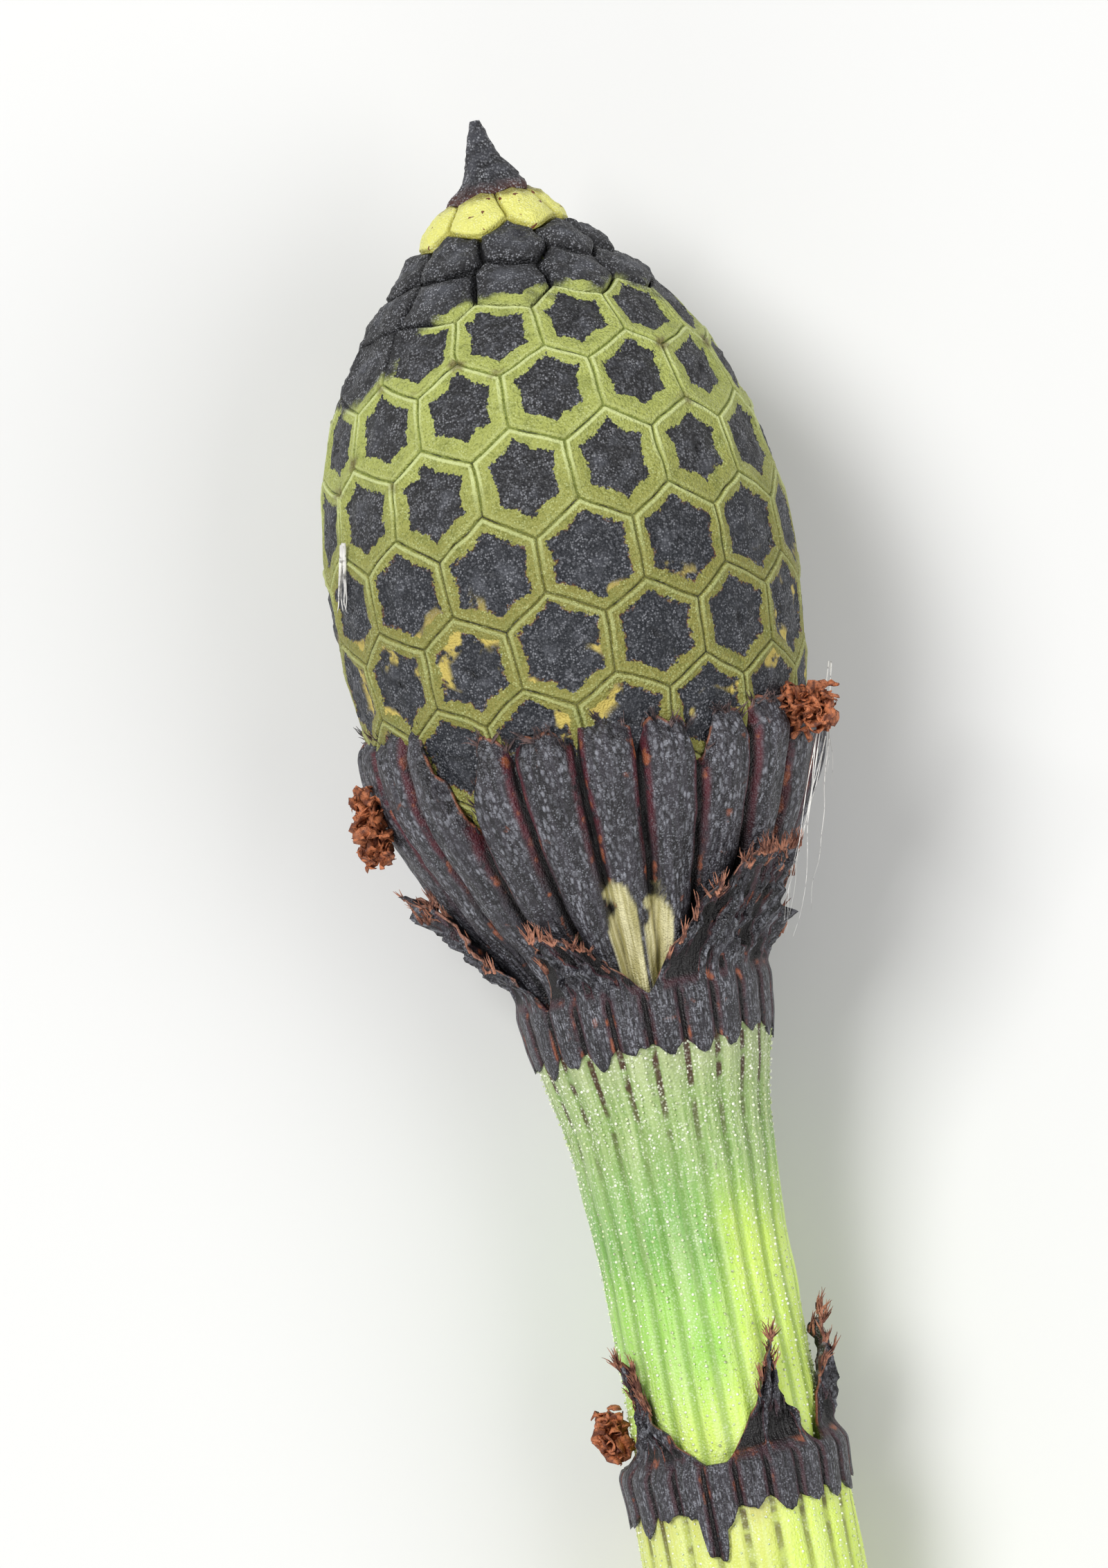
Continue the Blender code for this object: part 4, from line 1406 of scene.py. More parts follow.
@dataclass
class CupSheath(Sheath):
    """The cup of long ribbed bracts that the cone sits in."""

    phase: float = -6.5
    rim_middle: float = 9.80
    rim_tilt: float = 0.34
    foot: float = 14.55
    rows: int = 76
    furrow_depth: float = 0.19
    furrow_width: float = 0.050
    valley_depth: float = 0.085
    valley_width: float = 0.17
    bulge: float = 0.060
    crease_depth: float = 0.030
    crease_width: float = 0.040
    unevenness: float = 0.040
    fibre_relief: float = 0.018
    swell: float = 0.035
    fold_in: float = 0.20
    fold_reach: float = 0.55
    crumple: float = 0.10
    rim_thickness: float = 0.05
    extra_thickness: float = 0.11
    splits: tuple[tuple[float, float, float], ...] = (
        (-40.0, 11.3, 11.0), (28.0, 10.75, 5.5), (118.0, 10.8, 8.0), (-150.0, 10.9, 9.0),
        (60.0, 10.15, 2.5), (-8.0, 10.1, 2.0),
    )
    pale_bases: tuple[tuple[float, float, float], ...] = (
        (-3.0, 6.5, 12.35), (10.5, 6.0, 12.60), (-39.0, 3.2, 13.4), (-23.0, 3.4, 13.3),
        (150.0, 7.0, 12.6), (-120.0, 6.0, 12.9),
    )

    def rim_depth(self) -> np.ndarray:
        """Rounded tops on the bracts, torn apart at the splits.

        Returns:
            The depth of the rim at each column.
        """
        turn = self.turns
        ring = SHOOT.own(0.0, turn, 3.7)
        depth = self.rim_middle + self.rim_tilt * np.sin(np.radians(turn))
        depth = depth + 0.24 * np.abs(2 * self.across(turn) - 1) ** 2.5
        depth = depth + 0.14 * self.rib_draw(turn, 1) + 0.12 * self.rough(ring + 5, 0.8)
        depth = depth + 0.10 * self.rough.layered(ring, 0.24, 4)
        for centre, bottom, half_width in self.splits:
            reach = np.clip(1 - np.abs(away(turn, centre)) / half_width, 0, 1) ** 1.2
            depth = depth + (bottom - depth) * reach
        return depth

    def pale(self, depth: np.ndarray, turn: np.ndarray) -> np.ndarray:
        """The pale feet of the bracts that the torn sheath below leaves bare.

        Args:
            depth: Distance below the tip.
            turn: Angle round the axis, in degrees.

        Returns:
            From 0, black, to 1, pale.
        """
        noise = self.rough.layered(SHOOT.own(depth, turn, 2.5) + 50.0, 0.25)
        result = np.zeros(np.shape(depth))
        for centre, half_width, top in self.pale_bases:
            across = np.clip(1 - (away(turn, centre) / half_width) ** 2, 0, 1)
            start = top + 0.6 * (1 - across) + 0.30 * noise
            result = np.maximum(result, ease(depth, start, start + 0.2) * ease(across, 0, 0.25))
        return result

    def wall(self) -> Wall:
        """Rounded bracts with deep furrows between them and crumpled tops, folded in.

        Returns:
            The cup's wall.
        """
        rim = self.rim_depth()
        up = np.linspace(0, 1, self.rows)[:, None] ** 0.85 * np.ones_like(rim)
        depth = self.foot + (rim - self.foot) * up
        turn = np.broadcast_to(self.turns, depth.shape)
        cup = CUP_RADIUS(depth)
        here = SHOOT.own(depth, turn, cup)
        wander = turn + 1.3 * self.rough(here + 20.0, 1.4) + 0.6 * self.rough(here, 0.5)
        share, gap = self.across(wander), self.gap(wander, cup)
        draw = [self.rib_draw(wander, salt) for salt in (2, 3)]
        radius = cup - self.furrow_depth * bell(gap, 0, self.furrow_width)
        radius = radius - self.valley_depth * bell(gap, 0, self.valley_width)
        radius = radius + self.bulge * np.sin(math.pi * share) ** 0.8
        side = np.abs(share - 0.5 - 0.07 * draw[0]) * math.radians(RIB_TURN) * cup
        radius = radius - self.crease_depth * bell(side, self.valley_width, self.crease_width)
        radius = radius + self.unevenness * draw[1] * np.sin(math.pi * share) ** 0.5
        radius = radius + self.fibre_relief * self.rough(here * (9.0, 0.6, 9.0), 1.0)
        radius = radius + self.swell * self.rough.layered(here + 60.0, 0.9)
        near_rim = ease(rim + 1.0 - depth, 0.35, 1.0)
        folded = self.fold_in * ease(rim + self.fold_reach - depth, 0.0, self.fold_reach) ** 2
        folds = self.rough.folds(here * (1.3, 0.6, 1.3) + 2.0, 0.3) - 0.9
        crumple = self.crumple * near_rim * folds
        # The furrow value marks the furrows and, near the rim, the crumpled creases: the finish
        # paints shade deep in them
        furrow = np.exp(-((gap / 0.115) ** 1.4))
        furrow = np.maximum(furrow, 0.8 * near_rim * ease(-crumple, 0.07, 0.15))
        thickness = self.rim_thickness + self.extra_thickness * (1 - near_rim)
        return Wall(depth, turn, radius - folded + crumple, thickness, furrow,
                    ease(rim + 0.10 - depth, 0.0, 0.10), self.pale(depth, turn))

    def build(self) -> Wall:
        """Builds the cup and returns its wall.

        Returns:
            The wall, for the fibres on its rim.
        """
        wall = self.wall()
        finish = SheathFinish(self.effects, "cup_sheath")
        dress(wall.skin("cup_bracts", finish.material()), Slot.SHEATH, "cup_sheath")
        return wall


@dataclass(frozen=True)
class Tooth:
    """One withered tooth or flap of a torn sheath, with its base between two turns."""

    left: float
    apex: float
    right: float
    top: float
    taper: float = 0.8
    blunt: float = 0.2
    splay: float = 0.1
    twist: float = 0.1


@dataclass
class TornSheath(Sheath):
    """A black band on a joint of the stem, with torn teeth that stand up from it."""

    rim: float = 14.20
    foot: float = 14.98
    name: str = "shoulder"
    teeth: tuple[Tooth, ...] = ()
    tongue: float = 0.20
    long_tongue: tuple[float, float, float] = (0.0, 1.0, 0.0)
    band_rows: int = 20
    tooth_rows: int = 52
    fold: float = 0.2
    rib_bulge: float = 0.045
    rib_furrow: float = 0.055
    rib_furrow_width: float = 0.045
    tooth_thickness: float = 0.04
    extra_thickness: float = 0.09
    edge: Colour = rgb(150, 92, 66)

    def bed(self, depth: np.ndarray) -> np.ndarray:
        """The radius that the teeth lie on.

        Args:
            depth: Distance below the tip.

        Returns:
            The radius.
        """
        if self.name == "shoulder":
            return CUP_RADIUS(np.minimum(depth, 14.2)) + 0.16
        return UPPER_STEM_RADIUS(depth) + 0.12

    def band(self, depth: np.ndarray) -> np.ndarray:
        """The radius of the band below the teeth.

        Args:
            depth: Distance below the tip.

        Returns:
            The radius.
        """
        if self.name == "shoulder":
            return UPPER_STEM_RADIUS(np.maximum(depth, 14.6)) + 0.10 * ease(depth, 15.1, 14.2)
        return 1.80 + 0.03 * ease(depth, 22.4, 21.9)

    def columns(self) -> dict[str, np.ndarray]:
        """The tooth that each column runs up, and where on that tooth it runs and ends.

        Returns:
            One value for each column, by the value's name.
        """
        turns = self.turns
        zero = np.zeros_like(turns)
        found = {key: zero.copy() for key in ("lean", "half", "rise", "taper", "splay",
                                              "twist", "side", "number")}
        end = zero.copy()
        for number, tooth in enumerate(self.teeth):
            middle, half = (tooth.left + tooth.right) / 2, (tooth.right - tooth.left) / 2
            side = away(turns, middle) / half
            inside = np.abs(side) < 1
            power = 1.2 + 1.6 * tooth.blunt
            end_here = (1 - np.clip(np.abs(side), 0, 1) ** power) ** (1 - 0.45 * tooth.blunt)
            given = {"lean": float(away(tooth.apex, middle)), "half": half,
                     "rise": self.rim - tooth.top, "taper": tooth.taper,
                     "splay": tooth.splay, "twist": tooth.twist, "number": number * 7.0}
            for key, value in given.items():
                found[key] = np.where(inside, value, found[key])
            found["side"] = np.where(inside, side, found["side"])
            end = np.where(inside, end_here, end)
        ring = SHOOT.own(0.0, turns, 2.4)
        ragged = 0.16 * self.rough.layered(ring, 0.30, 4) + 0.06 * self.rough(ring + 9.0, 0.06)
        found["end"] = np.clip(end * (1 + ragged) + 0.02, 0.02, 1.05)
        return found

    def foot_depth(self) -> np.ndarray:
        """Black tongues that run down the ribs, one of them long on the lower joint.

        Returns:
            The depth of the lower edge at each column.
        """
        turn = self.turns
        tongues = self.tongue * np.sin(math.pi * self.across(turn)) ** 1.5
        tongues = tongues * (1 + 0.9 * self.rib_draw(turn, 5))
        centre, width, length = self.long_tongue
        long_one = length * np.clip(1 - (away(turn, centre) / width) ** 4, 0, 1)
        jagged = 0.06 * self.rough.layered(SHOOT.own(0.0, turn, 2.0) + 30.0, 0.12, 4)
        return self.foot + tongues + long_one + jagged

    def wall(self) -> Wall:
        """A band with black tongues, and teeth whose fibres draw together to their tips.

        Returns:
            The sheath's wall.
        """
        c = self.columns()
        foot = self.foot_depth()
        up = np.linspace(0, 1, self.band_rows)[:, None]
        band_depth = foot + (self.rim - foot) * up
        high = np.linspace(0, 1, self.tooth_rows + 1)[1:, None] * c["end"]
        tooth_depth = self.rim - c["rise"] * high - (c["rise"] < 0.01) * high * 0.3
        middle = c["lean"] * high**1.2
        width = c["half"] * (1 - c["taper"] * high**0.75)
        tooth_turn = self.turns + middle + c["side"] * (width - c["half"])
        depth = np.concatenate([band_depth, tooth_depth])
        turn = np.concatenate([np.broadcast_to(self.turns, band_depth.shape), tooth_turn])
        high = np.concatenate([np.zeros_like(band_depth), high])
        side = np.broadcast_to(c["side"], depth.shape)

        fibres = np.stack([side * c["half"] * 0.05 + c["number"], depth * 0.45,
                           high * 0.3], axis=-1)
        here = SHOOT.own(depth, turn, 2.2)
        creases = self.rough.folds(fibres, 0.42)
        crumpled = self.rough.folds(here + 4.0, 0.34) - 0.9
        base = ease(self.rim + 0.15 - depth, 0.0, 0.45)
        gap = self.gap(self.turns, 2.0) * np.ones_like(depth)
        ribs = self.rib_bulge * np.sin(math.pi * self.across(self.turns)) ** 0.7
        ribs = ribs - self.rib_furrow * bell(gap, 0, self.rib_furrow_width)
        standing = self.bed(depth) + self.fold * ease(high, 0.0, 0.4) * (creases - 0.75)
        standing = standing + 0.45 * self.fold * crumpled * ease(high, 0.02, 0.3)
        standing = standing + c["splay"] * high**1.6 + c["twist"] * side * np.sin(high * 5.2)
        standing = np.maximum(standing, self.bed(depth) - 0.06)
        radius = self.band(depth) * (1 - base) + standing * base + ribs * (1 - 0.8 * base)
        # The furrow value marks the band's furrows and the teeth's creases: the finish paints shade
        # deep in them
        furrow = np.exp(-((gap / 0.085) ** 1.4)) * (1 - base)
        furrow = np.maximum(furrow, base * ease(creases, 0.95, 0.35) * 0.9)
        to_edge = (c["end"] - high) * c["rise"]
        rim = ease(to_edge, 0.12, 0.0) * ease(high, 0.05, 0.15)
        thickness = self.tooth_thickness + self.extra_thickness * (1 - base)
        return Wall(depth, turn, radius, thickness, furrow, rim, np.zeros_like(depth))

    def build(self) -> Wall:
        """Builds the band and its teeth and returns their wall.

        Returns:
            The wall, for the fibres on its rim.
        """
        wall = self.wall()
        finish = SheathFinish(self.effects, f"{self.name}_sheath", wine=0.35, wine_until=40.0,
                              rust=0.20, edge=self.edge)
        skin = wall.skin(f"{self.name}_bracts", finish.material())
        dress(skin, Slot.SHEATH, f"{self.name}_sheath")
        return wall


def shoulder_sheath(effects: SharedEffects) -> TornSheath:
    """The sheath below the cup, with broad crumpled flaps splayed round the cup.

    Args:
        effects: The shared effects.

    Returns:
        The sheath.
    """
    return TornSheath(effects, seed=57, fold=0.24, edge=rgb(168, 118, 98), teeth=(
        Tooth(-50.0, -33.0, 1.0, 13.05, taper=0.45, blunt=0.7, splay=0.10, twist=0.03),
        Tooth(-118.0, -84.0, -52.0, 12.10, taper=0.45, blunt=0.5, splay=0.24, twist=0.08),
        Tooth(3.0, 50.0, 96.0, 12.40, taper=0.40, blunt=0.9, splay=0.22, twist=0.08),
        Tooth(100.0, 122.0, 146.0, 13.0, splay=0.2), Tooth(150.0, 172.0, 196.0, 13.2),
        Tooth(-162.0, -138.0, -119.0, 12.9, splay=0.2),
    ))


def node_sheath(effects: SharedEffects) -> TornSheath:
    """The sheath at the lower joint, with withered pointed teeth on the stem.

    Args:
        effects: The shared effects.

    Returns:
        The sheath.
    """
    return TornSheath(effects, seed=83, rim=21.72, foot=22.40, name="node", fold=0.17,
                      tongue=0.18, long_tongue=(-17.0, 7.0, 0.72), edge=rgb(136, 78, 56),
                      teeth=(
        Tooth(-4.0, 30.0, 50.0, 19.95, taper=0.86, blunt=0.1, twist=0.10),
        Tooth(-78.0, -55.0, -16.0, 20.0, taper=0.86, blunt=0.15, twist=0.12),
        Tooth(56.0, 80.0, 104.0, 19.70, taper=0.84, blunt=0.2, splay=0.2, twist=0.12),
        Tooth(112.0, 132.0, 158.0, 20.4, taper=0.85), Tooth(-164.0, -138.0, -112.0, 20.5),
    ))


class GeometryGraph(Graph):
    """A Geometry Nodes tree with named inputs, run once on an object and taken off."""

    KINDS = {
        float: "NodeSocketFloat", int: "NodeSocketInt", Vector: "NodeSocketVector",
        bpy.types.Material: "NodeSocketMaterial",
    }

    def __init__(self, name: str, inputs: dict[str, type]) -> None:
        """Starts a tree with a geometry input and output, and inputs of those types.

        Args:
            name: The tree's name.
            inputs: The inputs' types by name.
        """
        super().__init__(bpy.data.node_groups.new(name, "GeometryNodeTree"))
        new = self.tree.interface.new_socket
        new("Geometry", in_out="INPUT", socket_type="NodeSocketGeometry")
        inputs = inputs | {"Material": bpy.types.Material}
        for socket_name, kind in inputs.items():
            new(socket_name, in_out="INPUT", socket_type=self.KINDS[kind])
        new("Geometry", in_out="OUTPUT", socket_type="NodeSocketGeometry")
        given = self.tree.nodes.new("NodeGroupInput").outputs
        self.given = {name: Wire(self, given[name]) for name in ("Geometry", *inputs)}
        self.made = self.tree.nodes.new("NodeGroupOutput").inputs

    @property
    def position(self) -> Wire:
        """Each point's position."""
        return self.node("GeometryNodeInputPosition")

    def random(self, low: Any, high: Any, salt: float, number: Wire | None = None) -> Wire:
        """A random number or vector for each point, instance or given number.

        Args:
            low: The least value.
            high: The greatest value.
            salt: Added to the tree's seed.
            number: What to draw for, if not each point.

        Returns:
            The drawn value.
        """
        inputs = {"Min": low, "Max": high, "Seed": self.given["Seed"] + salt}
        if number:
            inputs["ID"] = number
        kind = "FLOAT_VECTOR" if isinstance(low, tuple) else "FLOAT"
        return self.node("FunctionNodeRandomValue", inputs, data_type=kind)

    def move(self, mesh: Wire, **where: Wire) -> Wire:
        """Sets the Position of the points or shifts them by an Offset."""
        return self.node("GeometryNodeSetPosition", {"Geometry": mesh, **where})

    def on_shoot(self, depth: Wire, turn: Wire, radius: Wire) -> Wire:
        """The world position of a depth and radius in metres and a turn in radians.

        Args:
            depth: Distance below the tip.
            turn: Angle round the axis.
            radius: Distance from the axis.

        Returns:
            The position.
        """
        own = self.combine(radius * turn.math("SINE"), self.given["Half Length"] - depth,
                           radius * turn.math("COSINE"))
        turned = self.node("ShaderNodeVectorRotate", {
            "Vector": own, "Angle": self.given["Lean"],
        }, rotation_type="X_AXIS")
        return turned + self.given["Middle"]

    def end(self, mesh: Wire) -> None:
        """Ends the tree: instances made real, shaded smooth, in their material.

        Args:
            mesh: The mesh that the tree has made.
        """
        real = self.node("GeometryNodeRealizeInstances", {0: mesh})
        smooth = self.node("GeometryNodeSetShadeSmooth", {0: real})
        self.feed(self.made[0], self.node("GeometryNodeSetMaterial", {
            "Geometry": smooth, "Material": self.given["Material"],
        }))

    def run(self, name: str, points: list, edges: list, **values: Any) -> bpy.types.Object:
        """Runs the tree on a mesh of points and edges and keeps the result as a plain mesh.

        Args:
            name: The piece's name.
            points: The points of the mesh that the tree reads.
            edges: The edges of that mesh.
            **values: The tree's inputs, with underscores standing for spaces.

        Returns:
            The piece, with its place in its mesh and no modifier.
        """
        source = bpy.data.meshes.new(name)
        source.from_pydata(points, edges, [])
        piece = bpy.data.objects.new(name, source)
        bpy.context.scene.collection.objects.link(piece)
        modifier = piece.modifiers.new("nodes", "NODES")
        modifier.node_group = self.tree
        sockets = {item.name: item.identifier for item in self.tree.interface.items_tree
                   if item.in_out == "INPUT"}
        for value_name, value in values.items():
            modifier[sockets[value_name.replace("_", " ")]] = value
        graph = bpy.context.evaluated_depsgraph_get()
        made = bpy.data.meshes.new_from_object(piece.evaluated_get(graph))
        piece.modifiers.clear()
        piece.data = made
        made.name = name
        return piece


SHOOT_INPUTS = {"Lean": float, "Middle": Vector, "Half Length": float}


def ribbed_stem_tree() -> GeometryGraph:
    """A tree that turns a profile into a ribbed stem.

    The profile's points hold the radius, the depth and the share of the rib height. Every
    row of a grid reads one of them, and the columns run round the stem.

    Returns:
        The tree.
    """
    g = GeometryGraph("ribbed_stem", {
        "Ribs": int, "Columns": int, "Rib Height": float, "Phase": float, "Wobble": float,
        "Rest Radius": float, "Rest Slope": float, "Length": float,
        "Canal Ring": float, "Canal Width": float, **SHOOT_INPUTS,
    })
    given = g.given
    rows = g.node("GeometryNodeAttributeDomainSize", {0: given["Geometry"]}, "Point Count")
    grid = g.node("GeometryNodeMeshGrid", {
        "Vertices X": given["Columns"] + 1.0, "Vertices Y": rows,
    })
    x, y, _ = g.axes(g.position)
    profile = g.node("GeometryNodeSampleIndex", {
        "Geometry": given["Geometry"], "Value": g.position,
        "Index": ((y + 0.5) * (rows - 1.0)).math("ROUND"),
    }, data_type="FLOAT_VECTOR", domain="POINT")
    radius, depth, relief = g.axes(profile)
    turn = (x + 0.5) * math.tau + given["Phase"]
    swing = ((turn - given["Phase"]) * given["Ribs"] * 0.5).math("COSINE")
    groove = swing.math("ABSOLUTE").math("POWER", 4.0)
    round_at = g.combine(turn.math("SINE"), turn.math("COSINE"), depth * (0.4 / MM))
    ribbed = radius - groove * given["Rib Height"] * relief
    ribbed = ribbed + (g.noise(round_at, 0.6, 2.0) - 0.5) * relief * given["Wobble"]
    straight_down = (given["Length"] - depth) * given["Rest Slope"] + given["Rest Radius"]
    downward = (turn.math("COSINE") * -1.0).math("MAXIMUM", 0.001)
    ribbed = ribbed.math("MINIMUM", straight_down / downward)
    # Spots on the cut end where the finish paints the canals' openings as shade
    off_ring = (radius - given["Canal Ring"]) / given["Canal Width"]
    canal = (swing * swing * 1.6 - off_ring * off_ring - 0.6).math("MAXIMUM", 0.0)

    grain = g.combine(turn.math("SINE"), turn.math("COSINE"), depth / MM)
    kept = {"furrow": ("FLOAT", groove), "depth": ("FLOAT", depth / MM),
            "pith": ("FLOAT", 1.0 - relief), "vein_canal": ("FLOAT", canal * (1.0 - relief)),
            "grain_at": ("FLOAT_VECTOR", grain)}
    skin = grid
    for name, (kind, value) in kept.items():
        skin = g.node("GeometryNodeStoreNamedAttribute", {
            "Geometry": skin, "Name": name, "Value": value,
        }, data_type=kind, domain="POINT")
    skin = g.move(skin, Position=g.on_shoot(depth, turn, ribbed))
    g.end(g.node("GeometryNodeMergeByDistance", {"Geometry": skin, "Distance": WELD_DISTANCE * MM}))
    return g


def silica_bumps_tree() -> GeometryGraph:
    """A tree that sets two rows of glassy bumps along each rib.

    The profile's points hold the radius and the depth, as for the ribbed stem.

    Returns:
        The tree.
    """
    g = GeometryGraph("silica_bumps", {
        "Ribs": int, "Rows": int, "Phase": float, "Shoulder": float, "From": float,
        "To": float, "Bump Radius": float, "Scatter": float, "Seed": int, **SHOOT_INPUTS,
    })
    given = g.given
    columns = given["Ribs"] * 2.0
    grid = g.node("GeometryNodeMeshGrid", {"Vertices X": columns, "Vertices Y": given["Rows"]})
    x, y, _ = g.axes(g.position)
    column = ((x + 0.5) * (columns - 1.0)).math("ROUND")
    side = column.math("MODULO", 2.0) * 2.0 - 1.0
    on_rib = (column / 2.0).math("FLOOR") + 0.5 + side * given["Shoulder"]
    turn = on_rib / given["Ribs"] * math.tau + given["Phase"]
    turn = turn + g.random(-0.6, 0.6, 3) * given["Scatter"] / MM
    depth = (y + 0.5) * (given["To"] - given["From"]) + given["From"]
    depth = depth + g.random(-1.0, 1.0, 1) * given["Scatter"]
    near = g.node("GeometryNodeProximity", {
        0: given["Geometry"], "Sample Position": g.combine(0.002, depth, 0.0),
    }, "Position", target_element="EDGES")
    spots = g.move(grid, Position=g.on_shoot(depth, turn, g.axes(near)[0]))
    ball = g.node("GeometryNodeMeshIcoSphere", {
        "Radius": given["Bump Radius"], "Subdivisions": 1,
    })
    g.end(g.node("GeometryNodeInstanceOnPoints", {
        "Points": spots, "Instance": ball, "Scale": g.random(0.35, 1.15, 2),
        "Rotation": g.random((0.0,) * 3, (math.tau,) * 3, 4),
    }))
    return g


def curled_strips_tree() -> GeometryGraph:
    """A tree that bundles curled, crumpled strips of dead tissue round each point.

    Returns:
        The tree.
    """
    g = GeometryGraph("curled_strips", {
        "Strips": int, "Half Size": Vector, "Strip Length": float, "Strip Width": float,
        "Crumple": float, "Centre": Vector, "Lean": float, "Seed": int,
    })
    given = g.given
    unit = g.random((-1.0,) * 3, (1.0,) * 3, 1).math("NORMALIZE")
    reach = g.random(0.0, 1.0, 2).math("POWER", 0.6)
    cloud = g.node("GeometryNodePoints", {
        "Count": given["Strips"], "Position": unit * given["Half Size"] * reach,
    })
    length, width = given["Strip Length"], given["Strip Width"]
    spiral = g.node("GeometryNodeCurveSpiral", {
        "Resolution": 14, "Rotations": 0.85, "Start Radius": length * 0.42,
        "End Radius": length * 0.12, "Height": length * 0.55,
    })
    along = g.node("GeometryNodeSplineParameter", out="Factor")
    section = g.node("GeometryNodeCurvePrimitiveQuadrilateral", {
        "Width": width, "Height": width * 0.22,
    })
    strip = g.node("GeometryNodeCurveToMesh", {
        "Curve": spiral, "Profile Curve": section, "Scale": 1.15 - along * along * 0.95,
        "Fill Caps": True,
    })
    strewn = g.node("GeometryNodeInstanceOnPoints", {
        "Points": cloud, "Instance": strip, "Scale": g.random(0.45, 1.25, 4),
        "Rotation": g.random((0.0,) * 3, (math.tau,) * 3, 3),
    })
    real = g.node("GeometryNodeRealizeInstances", {0: strewn})
    wave = g.node("ShaderNodeTexNoise", {
        "Vector": g.position, "Scale": 1 / (0.2 * MM), "Detail": 3.0,
    }, "Color")
    crumpled = g.move(real, Offset=(wave - (0.5,) * 3) * given["Crumple"])
    g.end(g.node("GeometryNodeTransform", {
        "Geometry": crumpled, "Translation": given["Centre"],
        "Rotation": g.combine(given["Lean"], 0.0, 0.0),
    }))
    return g


def loose_fibres_tree() -> GeometryGraph:
    """A tree that draws a few wavy, tapering fibres along each edge of a mesh.

    Returns:
        The tree.
    """
    g = GeometryGraph("loose_fibres", {
        "Fibres": int, "Points": int, "Spread": float, "Wave": float, "Wave Size": float,
        "Thickness": float, "Seed": int,
    })
    given = g.given
    line = g.node("GeometryNodeMeshToCurve", {"Mesh": given["Geometry"]})
    fine = g.node("GeometryNodeResampleCurve", {"Curve": line, "Count": given["Points"]})
    many = g.node("GeometryNodeDuplicateElements", {
        "Geometry": fine, "Amount": given["Fibres"],
    }, domain="SPLINE")
    number = g.node("GeometryNodeFieldOnDomain", {
        "Value": g.node("GeometryNodeInputIndex"),
    }, data_type="INT", domain="CURVE")
    along = g.node("GeometryNodeSplineParameter", out="Factor")
    own = g.random((-1.0,) * 3, (1.0,) * 3, 1, number)
    wave = g.node("ShaderNodeTexNoise", {
        "Vector": g.position / given["Wave Size"] + own * 4.0, "Scale": 1.0, "Detail": 1.0,
    }, "Color")
    shift = own * given["Spread"] * (along + 0.25)
    shift = shift + (wave - (0.5,) * 3) * (given["Wave"] * (along + 0.1) * 2.0)
    moved = g.move(many, Offset=shift)
    section = g.node("GeometryNodeCurvePrimitiveQuadrilateral", {"Width": 2.0, "Height": 0.9})
    g.end(g.node("GeometryNodeCurveToMesh", {
        "Curve": moved, "Profile Curve": section, "Fill Caps": True,
        "Scale": given["Thickness"] * (1.15 - along),
    }))
    return g


